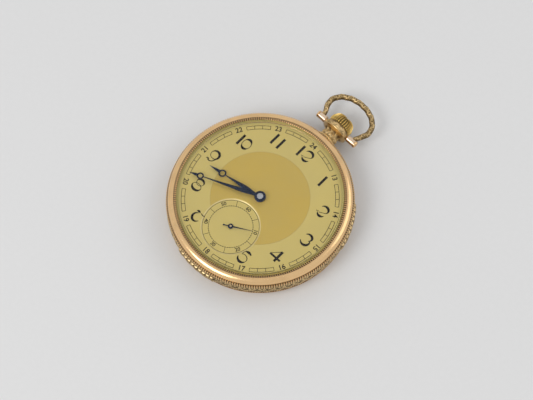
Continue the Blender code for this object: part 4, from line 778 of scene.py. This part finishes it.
def eye(distance, outer, inner, low, high, clockwise):
    """The ring near a hand's tip: a rounded square section turned round the ring's centre."""
    centre = (distance * math.sin(clockwise), distance * math.cos(clockwise), 0)
    lip = 0.06
    profile = [(outer, low), (outer, high - lip), (outer - lip, high), (inner + lip, high),
               (inner, high - lip), (inner, low)]
    return lathe(profile, 40, "z", centre, loop=True)


def hub(radius, low, high, centre=(0.0, 0.0)):
    """A hand's boss: a disc with a rounded upper edge."""
    rise = high - low
    profile = [(0, low), (radius, low), (radius, low + 0.6 * rise), (radius - 0.06, high - 0.02),
               (radius - 0.14, high), (0, high)]
    return lathe(profile, 48, "z", (centre[0], centre[1], 0))


def leaf(hub_radius, widest, half, waist_at, waist):
    """Half widths of a leaf blade: narrow at the hub, fullest at widest, fine before the ring."""
    return smooth([(hub_radius * 0.6, 0.3), (hub_radius + 0.6, 0.34), (widest, half),
                   (widest + (waist_at - widest) * 0.45, half * 0.6), (waist_at, waist)], 8)


def hand_patches(tip, eye_at, ring, low, high, clockwise, widest, half):
    """A whole hand: boss, leaf blade, ring and spear tip."""
    outer, inner = ring
    first = leaf(1.35, widest, half, eye_at - outer + 0.1, 0.1)
    spear = smooth([(eye_at + outer - 0.12, 0.34), (eye_at + outer + 0.35, 0.36),
                    (eye_at + outer + (tip - eye_at - outer) * 0.55, 0.2), (tip, 0.0)], 6)
    return [hub(1.35, low, high + 0.03),
            blade(np.vstack([[(first[0][0], 0)], first, [(first[-1][0], 0)]]), low, high, clockwise),
            eye(eye_at, outer, inner, low, high, clockwise),
            blade(np.vstack([[(spear[0][0], 0)], spear]), low, high, clockwise)]


# ---- shared shader groups -------------------------------------------------------------------
def group_of(name, inputs, outputs):
    """An empty shader group with named sockets."""
    group = bpy.data.node_groups.new(name, "ShaderNodeTree")
    for label, kind, value in inputs:
        socket = group.interface.new_socket(label, in_out="INPUT", socket_type=kind)
        socket.default_value = value
    for label, kind in outputs:
        group.interface.new_socket(label, in_out="OUTPUT", socket_type=kind)
    return group


def node(tree, kind, inputs=None, **settings):
    """A node with its settings; inputs maps socket names or numbers to values or sockets."""
    made = tree.nodes.new(kind)
    for key, value in settings.items():
        setattr(made, key, value)
    for key, value in (inputs or {}).items():
        if isinstance(value, bpy.types.NodeSocket):
            tree.links.new(value, made.inputs[key])
        else:
            made.inputs[key].default_value = value
    return made


def maths(tree, operation, first, second, clamp=False):
    made = node(tree, "ShaderNodeMath", {0: first, 1: second}, operation=operation)
    made.use_clamp = clamp
    return made.outputs[0]


def blend_colours(tree, factor, first, second, mode="MIX"):
    made = node(tree, "ShaderNodeMix", {0: factor, 6: first, 7: second}, data_type="RGBA",
                blend_type=mode)
    return made.outputs[2]


def noise(tree, vector, scale, detail=3.0, roughness=0.55):
    made = node(tree, "ShaderNodeTexNoise", {"Vector": vector, "Scale": scale, "Detail": detail,
                                             "Roughness": roughness})
    return made.outputs[0]


def range_of(tree, value, low, high, to_low, to_high):
    made = node(tree, "ShaderNodeMapRange", {0: value, 1: low, 2: high, 3: to_low, 4: to_high})
    return made.outputs[0]


def make_wear_group():
    """Handling wear: a cloudy film that darkens the colour, rubbed patches that change the
    roughness, and fine hairline scratches."""
    group = group_of("Handling Wear", [
        ("Vector", "NodeSocketVector", (0, 0, 0)), ("Color", "NodeSocketColor", (1, 1, 1, 1)),
        ("Film Color", "NodeSocketColor", (0.2, 0.1, 0.05, 1)),
        ("Film", "NodeSocketFloat", 0.2), ("Scale", "NodeSocketFloat", 300.0),
        ("Roughness", "NodeSocketFloat", 0.2), ("Spread", "NodeSocketFloat", 0.1),
        ("Scratches", "NodeSocketFloat", 0.1)],
        [("Color", "NodeSocketColor"), ("Roughness", "NodeSocketFloat"),
         ("Height", "NodeSocketFloat")])
    source = group.nodes.new("NodeGroupInput").outputs
    cloud = noise(group, source["Vector"], source["Scale"], 5.0)
    film_and_rim_shade = range_of(group, cloud, 0.42, 0.72, 0.0, 1.0)
    color = blend_colours(group, maths(group, "MULTIPLY", film_and_rim_shade, source["Film"]),
                          source["Color"], source["Film Color"])
    stretch = node(group, "ShaderNodeMapping", {"Vector": source["Vector"],
                                                "Rotation": (0.0, 0.3, 0.7),
                                                "Scale": (1.0, 14.0, 3.0)}).outputs[0]
    hairs = range_of(group, noise(group, stretch, 900.0, 2.0), 0.55, 0.75, 0.0, 1.0)
    rubbed = maths(group, "MULTIPLY", maths(group, "SUBTRACT", cloud, 0.5), source["Spread"])
    rough = maths(group, "ADD", source["Roughness"], rubbed)
    rough = maths(group, "ADD", rough, maths(group, "MULTIPLY", hairs, source["Scratches"]), True)
    sink = group.nodes.new("NodeGroupOutput").inputs
    group.links.new(color, sink["Color"])
    group.links.new(rough, sink["Roughness"])
    group.links.new(hairs, sink["Height"])
    return group


def make_recess_group():
    """Tarnish held in cut hollows: the lower a point stands in its pattern, the darker and duller
    it is."""
    group = group_of("Recess Tarnish", [
        ("Color", "NodeSocketColor", (1, 1, 1, 1)), ("Tarnish Color", "NodeSocketColor", (0, 0, 0, 1)),
        ("Roughness", "NodeSocketFloat", 0.2), ("Relief", "NodeSocketFloat", 1.0),
        ("Strength", "NodeSocketFloat", 0.8)],
        [("Color", "NodeSocketColor"), ("Roughness", "NodeSocketFloat")])
    source = group.nodes.new("NodeGroupInput").outputs
    deep = range_of(group, source["Relief"], 0.1, 0.75, 1.0, 0.0)
    held = maths(group, "MULTIPLY", deep, source["Strength"], True)
    color = blend_colours(group, held, source["Color"], source["Tarnish Color"])
    rough = maths(group, "ADD", source["Roughness"], maths(group, "MULTIPLY", held, 0.35), True)
    sink = group.nodes.new("NodeGroupOutput").inputs
    group.links.new(color, sink["Color"])
    group.links.new(rough, sink["Roughness"])
    return group


def material_of(name):
    """A new material, with its shader and the piece's own coordinates."""
    made = bpy.data.materials.new(name)
    made.use_nodes = True
    tree = made.node_tree
    shader = tree.nodes["Principled BSDF"]
    place = tree.nodes.new("ShaderNodeTexCoord").outputs["Object"]
    return made, tree, shader, place


def solid(values):
    return (*values, 1.0)


def gold_material(name, base, tarnish, roughness, film_and_rim_shade, recess, spread=0.12, scratches=0.1):
    """Worn gold: the wear group over the alloy's colour, then tarnish in the cut hollows."""
    made, tree, shader, place = material_of(name)
    worn = node(tree, "ShaderNodeGroup", node_tree=bpy.data.node_groups["Handling Wear"])
    for key, value in (("Vector", place), ("Color", solid(base)), ("Film Color", solid(tarnish)),
                       ("Film", film_and_rim_shade), ("Scale", 260.0), ("Roughness", roughness),
                       ("Spread", spread), ("Scratches", scratches)):
        feed(tree, worn, key, value)
    held = node(tree, "ShaderNodeGroup", node_tree=bpy.data.node_groups["Recess Tarnish"])
    relief = node(tree, "ShaderNodeAttribute", attribute_name="relief").outputs["Fac"]
    for key, value in (("Color", worn.outputs["Color"]), ("Tarnish Color", solid(tarnish)),
                       ("Roughness", worn.outputs["Roughness"]), ("Relief", relief),
                       ("Strength", recess)):
        feed(tree, held, key, value)
    feed(tree, shader, "Base Color", held.outputs["Color"])
    feed(tree, shader, "Roughness", held.outputs["Roughness"])
    shader.inputs["Metallic"].default_value = 1.0
    relief_bump(tree, shader, worn.outputs["Height"], 0.25, 0.004)
    return made


def feed(tree, target, key, value):
    """Links a socket, or sets a plain value, on one input."""
    if isinstance(value, bpy.types.NodeSocket):
        tree.links.new(value, target.inputs[key])
    else:
        target.inputs[key].default_value = value


def relief_bump(tree, shader, height, strength, distance):
    """Feeds a height through a Bump node into the shader's normal."""
    bump = node(tree, "ShaderNodeBump", {"Strength": strength, "Distance": distance * MM,
                                         "Height": height})
    tree.links.new(bump.outputs["Normal"], shader.inputs["Normal"])


def dial_material(name, colours, sizes):
    """Gilt dial: a darker disc with a fine edge in the middle, a soft grain, a painted highlight along the bevel
    of the sunk seconds dial, and a greenish painted shade and tint of the crystal's edge gathered towards the rim."""
    made, tree, shader, place = material_of(name)
    split = node(tree, "ShaderNodeSeparateXYZ", {0: place}).outputs
    square = maths(tree, "ADD", maths(tree, "MULTIPLY", split[0], split[0]),
                   maths(tree, "MULTIPLY", split[1], split[1]))
    radius = maths(tree, "SQRT", square, 0.0)
    disc = sizes.centre_disc
    inside = range_of(tree, radius, disc - 0.03 * MM, disc + 0.03 * MM, 1.0, 0.0)
    down = maths(tree, "SUBTRACT", split[1], float(SECONDS_CENTRE[1] * MM))
    sink_square = maths(tree, "ADD", maths(tree, "MULTIPLY", split[0], split[0]),
                        maths(tree, "MULTIPLY", down, down))
    sink_radius = maths(tree, "SQRT", sink_square, 0.0)
    outside_sink = range_of(tree, sink_radius, sizes.sink_radius - 0.02 * MM,
                            sizes.sink_radius + 0.02 * MM, 0.0, 1.0)
    inside = maths(tree, "MULTIPLY", inside, outside_sink)
    color = blend_colours(tree, inside, solid(colours.chapter), solid(colours.disc))
    off = maths(tree, "ABSOLUTE", maths(tree, "SUBTRACT", radius, disc), 0.0)
    edge = maths(tree, "MULTIPLY", range_of(tree, off, 0.03 * MM, 0.08 * MM, 0.35, 0.0),
                 outside_sink)
    color = blend_colours(tree, edge, color, (0.25, 0.16, 0.05, 1.0))
    # Painted highlight: a lighter band along the bevel of the sunk seconds dial, where the bevel would catch the
    # light.
    bevel = maths(tree, "ABSOLUTE", maths(tree, "SUBTRACT", sink_radius,
                                          sizes.sink_radius - 0.1 * MM), 0.0)
    light = range_of(tree, bevel, 0.07 * MM, 0.16 * MM, 0.55, 0.0)
    color = blend_colours(tree, light, color, (0.80, 0.68, 0.38, 1.0))
    # Painted shade and tint: the dial's margin is darkened and turned green towards the rim, as the crystal's edge
    # would shade and tint it.
    film_and_rim_shade = range_of(tree, radius, 18.5 * MM, 19.9 * MM, 0.0, 0.55)
    color = blend_colours(tree, film_and_rim_shade, color, (0.30, 0.30, 0.08, 1.0))
    cloud = range_of(tree, noise(tree, place, 130.0, 4.0), 0.35, 0.75, 0.0, 0.16)
    color = blend_colours(tree, cloud, color, (0.42, 0.36, 0.16, 1.0))
    specks = range_of(tree, noise(tree, place, 2600.0, 1.0), 0.74, 0.8, 0.0, 0.3)
    color = blend_colours(tree, specks, color, (0.2, 0.13, 0.05, 1.0))
    feed(tree, shader, "Base Color", color)
    grain = noise(tree, place, 9000.0, 2.0)
    feed(tree, shader, "Roughness", range_of(tree, grain, 0.3, 0.7, 0.42, 0.58))
    shader.inputs["Metallic"].default_value = 0.35
    relief_bump(tree, shader, grain, 0.3, 0.004)
    return made


def plain_material(name, base, roughness, metallic, pattern, shine=0.5):
    """A plain metal with its own fine pattern: a height over the piece that also shades the
    colour and the roughness a little."""
    made, tree, shader, place = material_of(name)
    height = pattern(tree, place)
    dark = tuple(0.72 * value for value in base)
    feed(tree, shader, "Base Color", blend_colours(tree, height, solid(dark), solid(base)))
    feed(tree, shader, "Roughness", range_of(tree, height, 0.0, 1.0, roughness + 0.08, roughness))
    shader.inputs["Metallic"].default_value = metallic
    shader.inputs["Specular IOR Level"].default_value = shine
    relief_bump(tree, shader, height, 0.4, 0.01)
    return made


def stripes(tree, place):
    """Striped finish of the bridges: broad slanting bands crossed by a fine grain."""
    turned_place = node(tree, "ShaderNodeMapping", {"Vector": place,
                                                    "Rotation": (0.0, 0.0, math.radians(38))})
    bands = node(tree, "ShaderNodeTexWave", {"Vector": turned_place.outputs[0], "Scale": 165.0,
                                             "Distortion": 0.0}, wave_profile="SAW")
    fine = noise(tree, place, 5200.0, 1.0)
    return maths(tree, "ADD", maths(tree, "MULTIPLY", bands.outputs[1], 0.8),
                 maths(tree, "MULTIPLY", fine, 0.2), True)


def grained(tree, place):
    """Straight fine graining of polished steel."""
    stretched = node(tree, "ShaderNodeMapping", {"Vector": place, "Scale": (1.0, 9.0, 1.0)})
    return noise(tree, stretched.outputs[0], 1500.0, 3.0)


def clouded(tree, place):
    """Soft cloudy polish."""
    return range_of(tree, noise(tree, place, 420.0, 4.0), 0.3, 0.7, 0.0, 1.0)


def crystal_material():
    """Clear crystal; its shadow rays pass straight through, so the dial stays lit."""
    made, tree, shader, place = material_of("Crystal")
    shader.inputs["Base Color"].default_value = (1.0, 1.0, 1.0, 1.0)
    shader.inputs["Transmission Weight"].default_value = 1.0
    shader.inputs["IOR"].default_value = 1.34
    smears = range_of(tree, noise(tree, place, 160.0, 3.0), 0.45, 0.75, 0.0, 0.02)
    feed(tree, shader, "Roughness", smears)
    rays = tree.nodes.new("ShaderNodeLightPath").outputs
    through = maths(tree, "MAXIMUM", rays["Is Shadow Ray"], rays["Is Diffuse Ray"])
    clear = tree.nodes.new("ShaderNodeBsdfTransparent")
    mixed = node(tree, "ShaderNodeMixShader", {0: through, 1: shader.outputs[0],
                                               2: clear.outputs[0]})
    tree.links.new(mixed.outputs[0], tree.nodes["Material Output"].inputs["Surface"])
    return made


def make_materials():
    scene = bpy.context.scene
    tones, dial = scene.watch_colours, scene.watch_dial
    make_wear_group()
    make_recess_group()
    tarnish = tuple(tones.tarnish)
    gold_material("Rose Gold", tones.rose_gold, tarnish, 0.2, 0.12, 0.92)
    gold_material("Band Gold", tones.band_gold, tarnish, 0.27, 0.3, 0.9)
    gold_material("Crown Gold", tones.crown_gold, tarnish, 0.16, 0.12, 0.85)
    gold_material("Worn Gold", tones.worn_gold, tarnish, 0.28, 0.35, 0.78)
    gold_material("Tube Gold", tones.tube_gold, tarnish, 0.22, 0.15, 0.8)
    dial_material("Dial Gilt", tones, dial)
    plain_material("Ink", tones.ink, 0.7, 0.0, clouded, 0.0)
    plain_material("Blued Steel", tones.blued, 0.22, 1.0, clouded)
    plain_material("Striped Nickel", tones.nickel, 0.26, 1.0, stripes)
    plain_material("Steel", tones.steel, 0.24, 1.0, grained)
    plain_material("Gilt Brass", tones.brass, 0.3, 1.0, grained)
    plain_material("Ruby", tones.ruby, 0.08, 0.0, clouded)
    crystal_material()


# ---- operators -----------------------------------------------------------------------------
# the stage, in metres
FLOOR_REACH = 0.9
KEY_PLACE, KEY_WIDTH = (-0.09, -0.53, 0.62), 0.42
FILL_PLACE, FILL_WIDTH = (0.27, 0.43, 0.45), 0.5
SENSOR_WIDTH = 36.0              # millimetres

# the hands, in millimetres: outside and inside of the ring, then the blade's fullest place
HOUR_RING, HOUR_FULLEST, HOUR_HALF = (0.95, 0.58), 4.4, 0.55
MINUTE_RING, MINUTE_FULLEST, MINUTE_HALF = (0.85, 0.5), 5.0, 0.5
ARBOR_CAP = 0.75
SECONDS_BOSS = 0.65


def finish_of(name):
    """A finish by its name; all of them are made when the first is asked for."""
    if name not in bpy.data.materials:
        make_materials()
    return bpy.data.materials[name]


class WATCH_OT_case(bpy.types.Operator):
    """Make the bezel, the chased band, the engine-turned back and the crystal"""
    bl_idname = "watch.case"
    bl_label = "Case"
    bl_options = {"REGISTER", "UNDO"}

    def execute(self, context):
        sizes = context.scene.watch_case
        piece("bezel_ring", [bezel_patch(sizes)], finish_of("Rose Gold"), "bezel",
              ["bezel"])
        piece("chased_band", [band_patch(sizes)], finish_of("Band Gold"), "case",
              ["case_middle"], 60.0)
        piece("turned_back", [back_patch(sizes)], finish_of("Rose Gold"), "back_cover",
              ["back_cover"])
        piece("domed_crystal", [crystal_patch()], finish_of("Crystal"), "bezel",
              ["crystal"])
        return {"FINISHED"}


class WATCH_OT_fittings(bpy.types.Operator):
    """Make the pendant, the bow with its tubes and screws, and the crown"""
    bl_idname = "watch.fittings"
    bl_label = "Pendant, bow and crown"
    bl_options = {"REGISTER", "UNDO"}

    def execute(self, context):
        sizes = context.scene.watch_fitting
        piece("chased_pendant", [pendant_patch(sizes)], finish_of("Worn Gold"), "case",
              ["pendant"], 50.0)
        piece("fluted_crown", [crown_patch(sizes)], finish_of("Crown Gold"), "crown",
              ["crown"], 60.0)
        wire, tubes = bow_patches(sizes)
        piece("chased_bow", [wire], finish_of("Worn Gold"), "bow", ["bow"], 70.0)
        piece("bow_tubes", tubes, finish_of("Tube Gold"), "bow")
        for side, direction in (("right", 1), ("left", -1)):
            piece("bow_screw_head_" + side, [bow_screw_patch(direction)], finish_of("Rose Gold"),
                  "case", ["bow_screw_" + side])
        return {"FINISHED"}


class WATCH_OT_dial(bpy.types.Operator):
    """Make the gilt dial with its sunk seconds dial, and print its tracks and numbers"""
    bl_idname = "watch.dial"
    bl_label = "Dial"
    bl_options = {"REGISTER", "UNDO"}

    def execute(self, context):
        sizes = context.scene.watch_dial
        ink = finish_of("Ink")
        piece("gilt_dial", [dial_patch(sizes)], finish_of("Dial Gilt"), "case", ["dial"])
        piece("dial_hours", hour_strokes(sizes), ink, "case")
        piece("dial_tracks", track_patches(sizes), ink, "case")
        dress("dial_small_figures", small_figures(sizes), ink, "case")
        return {"FINISHED"}


class WATCH_OT_hands(bpy.types.Operator):
    """Make the three blued hands and the arbor's cap"""
    bl_idname = "watch.hands"
    bl_label = "Hands"
    bl_options = {"REGISTER", "UNDO"}

    def execute(self, context):
        sizes = context.scene.watch_hands
        blued = finish_of("Blued Steel")
        piece("leaf_hour_hand",
              hand_patches(sizes.hour_tip / MM, sizes.hour_eye / MM, HOUR_RING, HOUR_LOW[2],
                           HOUR_HIGH[2], sizes.hour_angle, HOUR_FULLEST, HOUR_HALF),
              blued, "hour_hand", ["hour_hand"])
        piece("leaf_minute_hand",
              hand_patches(sizes.minute_tip / MM, sizes.minute_eye / MM, MINUTE_RING,
                           MINUTE_LOW[2], MINUTE_HIGH[2], sizes.minute_angle, MINUTE_FULLEST,
                           MINUTE_HALF),
              blued, "minute_hand", ["minute_hand"])
        low, high = SECONDS_LOW[2], SECONDS_HIGH[2]
        turn = sizes.seconds_angle
        tip = sizes.seconds_tip / MM
        pointer = [(0.4, 0), (0.4, 0.16), (tip * 0.6, 0.09), (tip, 0.03), (tip, 0)]
        tail = [(-1.9, 0), (-1.9, 0.12), (-1.7, 0.2), (-1.45, 0.13), (-0.4, 0.1), (-0.4, 0)]
        piece("seconds_pointer",
              [hub(SECONDS_BOSS, low, high, SECONDS_CENTRE),
               blade(pointer, low, high, turn, SECONDS_CENTRE),
               blade(tail, low, high, turn, SECONDS_CENTRE)],
              blued, "fourth_wheel", ["seconds_hand"])
        top = MINUTE_HIGH[2]
        cap = [(0, top), (ARBOR_CAP, top), (ARBOR_CAP, top + 0.12), (ARBOR_CAP - 0.07, top + 0.19),
               (0.42, top + 0.2), (0.38, top + 0.15), (0, top + 0.15)]
        piece("hand_arbor_cap", [lathe(cap, 40)], finish_of("Steel"), "minute_hand")
        return {"FINISHED"}


class WATCH_OT_movement(bpy.types.Operator):
    """Finish the movement's own solids and set its jewels"""
    bl_idname = "watch.movement"
    bl_label = "Movement"
    bl_options = {"REGISTER", "UNDO"}

    FINISHES = {"nickel": "Striped Nickel", "steel": "Steel", "brass": "Gilt Brass",
                "blued_steel": "Blued Steel", "rose_gold": "Rose Gold", "band_gold": "Band Gold",
                "yellow_gold": "Crown Gold", "worn_gold": "Worn Gold", "dial": "Dial Gilt",
                "crystal": "Crystal"}
    JEWELS = {"third_turn": 0.62, "seconds_turn": 0.62, "escape_turn": 0.55, "centre_turn": 0.75}

    def execute(self, context):
        slots = {row["node"]: row["material_slot"] for row in frame["record"]["subparts"]}
        for name, solid_node in frame["nodes"].items():
            solid_node.data.materials.clear()
            solid_node.data.materials.append(finish_of(self.FINISHES[slots[name]]))
        stones, settings = [], []
        for joint, radius in self.JEWELS.items():
            x, y, _ = pivot(joint)
            face = Z_BRIDGE_FACE - 0.03
            dome = smooth([(0, face - 0.02), (radius * 0.5, face), (radius, face + 0.1)], 5)
            stones.append(lathe(np.vstack([dome, [(radius, face + 0.3), (0, face + 0.3)]]), 32,
                                "z", (x, y, 0)))
            collar = [(radius, face + 0.25), (radius + 0.02, face), (radius + 0.1, face - 0.03),
                      (radius + 0.28, face - 0.03), (radius + 0.32, face + 0.02),
                      (radius + 0.32, face + 0.25)]
            settings.append(lathe(collar, 40, "z", (x, y, 0), loop=True))
        piece("bridge_jewels", stones, finish_of("Ruby"), "case")
        piece("jewel_settings", settings, finish_of("Gilt Brass"), "case")
        return {"FINISHED"}


class WATCH_OT_stage(bpy.types.Operator):
    """Make the pale floor, the lamps, the room light and the camera"""
    bl_idname = "watch.stage"
    bl_label = "Stage"
    bl_options = {"REGISTER", "UNDO"}

    def execute(self, context):
        scene = context.scene
        self.floor(scene, scene.watch_colours)
        self.lights(scene, scene.watch_stage)
        self.camera(scene, scene.watch_stage)
        scene.view_settings.view_transform = "Standard"
        return {"FINISHED"}

    def floor(self, scene, tones):
        """A flat sheet under the watch."""
        reach = FLOOR_REACH
        mesh = bpy.data.meshes.new("floor")
        mesh.from_pydata([(-reach, -reach, 0), (reach, -reach, 0), (reach, reach, 0),
                          (-reach, reach, 0)], [], [(0, 1, 2, 3)])
        made = bpy.data.objects.new("floor", mesh)
        scene.collection.objects.link(made)
        paint, tree, shader, place = material_of("Table Paper")
        fibre = range_of(tree, noise(tree, place, 900.0, 3.0), 0.3, 0.7, 0.0, 1.0)
        pale = tuple(tones.floor)
        soft = tuple(0.985 * value for value in pale)
        feed(tree, shader, "Base Color", blend_colours(tree, fibre, solid(soft), solid(pale)))
        shader.inputs["Roughness"].default_value = 0.85
        mesh.materials.append(paint)

    def lights(self, scene, sizes):
        """A plain room light and two large soft lamps aimed at the dial."""
        room = bpy.data.worlds.new("Room")
        room.use_nodes = True
        background = room.node_tree.nodes["Background"]
        background.inputs["Color"].default_value = (0.98, 0.98, 1.0, 1.0)
        background.inputs["Strength"].default_value = sizes.world_level
        scene.world = room
        lamps = (("key_lamp", KEY_PLACE, KEY_WIDTH, sizes.key_power),
                 ("fill_lamp", FILL_PLACE, FILL_WIDTH, sizes.fill_power))
        for name, place, width, power in lamps:
            lamp = bpy.data.lights.new(name, "AREA")
            lamp.shape = "DISK"
            lamp.size = width
            lamp.energy = power
            made = bpy.data.objects.new(name, lamp)
            made.location = place
            made.rotation_euler = (-Vector(place)).to_track_quat("-Z", "Y").to_euler()
            scene.collection.objects.link(made)

    def camera(self, scene, sizes):
        """The camera looks down at the dial from the tilt and heading, turned by its roll."""
        heading, tilt, roll = sizes.heading, sizes.tilt, sizes.roll
        flat = Vector((math.cos(heading), math.sin(heading), 0))
        ahead = Vector((-math.sin(heading) * math.cos(tilt), math.cos(heading) * math.cos(tilt),
                        -math.sin(tilt)))
        above = flat.cross(ahead)
        right = flat * math.cos(roll) - above * math.sin(roll)
        up = flat * math.sin(roll) + above * math.cos(roll)
        lens = bpy.data.cameras.new("camera")
        lens.lens = sizes.focal
        lens.sensor_width = SENSOR_WIDTH
        lens.clip_start, lens.clip_end = 0.01, 10.0
        made = bpy.data.objects.new("camera", lens)
        place = Vector((0, 0, Z_DIAL * MM)) - ahead * sizes.distance
        place += right * sizes.aim_right - up * sizes.aim_down
        turn = Matrix((right, up, -ahead)).transposed().to_4x4()
        made.matrix_world = Matrix.Translation(place) @ turn
        scene.collection.objects.link(made)
        scene.camera = made


class WATCH_PT_sidebar(bpy.types.Panel):
    """The watch's sizes, colours and steps"""
    bl_idname = "WATCH_PT_sidebar"
    bl_label = "Pocket Watch"
    bl_space_type = "VIEW_3D"
    bl_region_type = "UI"
    bl_category = "Pocket Watch"

    def draw(self, context):
        for operator in OPERATORS:
            self.layout.operator(operator.bl_idname)
        for name, group in SETTINGS.items():
            box = self.layout.box()
            for key in group.__annotations__:
                box.prop(getattr(context.scene, name), key)


SETTINGS = {"watch_case": WatchCaseSizes, "watch_fitting": WatchFittingSizes,
            "watch_dial": WatchDialSizes, "watch_hands": WatchHandSizes,
            "watch_colours": WatchColours, "watch_stage": WatchStageSizes}
OPERATORS = (WATCH_OT_stage, WATCH_OT_movement, WATCH_OT_case, WATCH_OT_fittings, WATCH_OT_dial,
             WATCH_OT_hands)


def register():
    for group in SETTINGS.values():
        bpy.utils.register_class(group)
    for operator in OPERATORS:
        bpy.utils.register_class(operator)
    bpy.utils.register_class(WATCH_PT_sidebar)
    for name, group in SETTINGS.items():
        setattr(bpy.types.Scene, name, bpy.props.PointerProperty(type=group))


def unregister():
    for name in SETTINGS:
        delattr(bpy.types.Scene, name)
    bpy.utils.unregister_class(WATCH_PT_sidebar)
    for operator in reversed(OPERATORS):
        bpy.utils.unregister_class(operator)
    for group in reversed(SETTINGS.values()):
        bpy.utils.unregister_class(group)


def main():
    register()
    bpy.ops.watch.stage()
    bpy.ops.watch.movement()
    bpy.ops.watch.case()
    bpy.ops.watch.fittings()
    bpy.ops.watch.dial()
    bpy.ops.watch.hands()


if __name__ == "__main__":
    main()
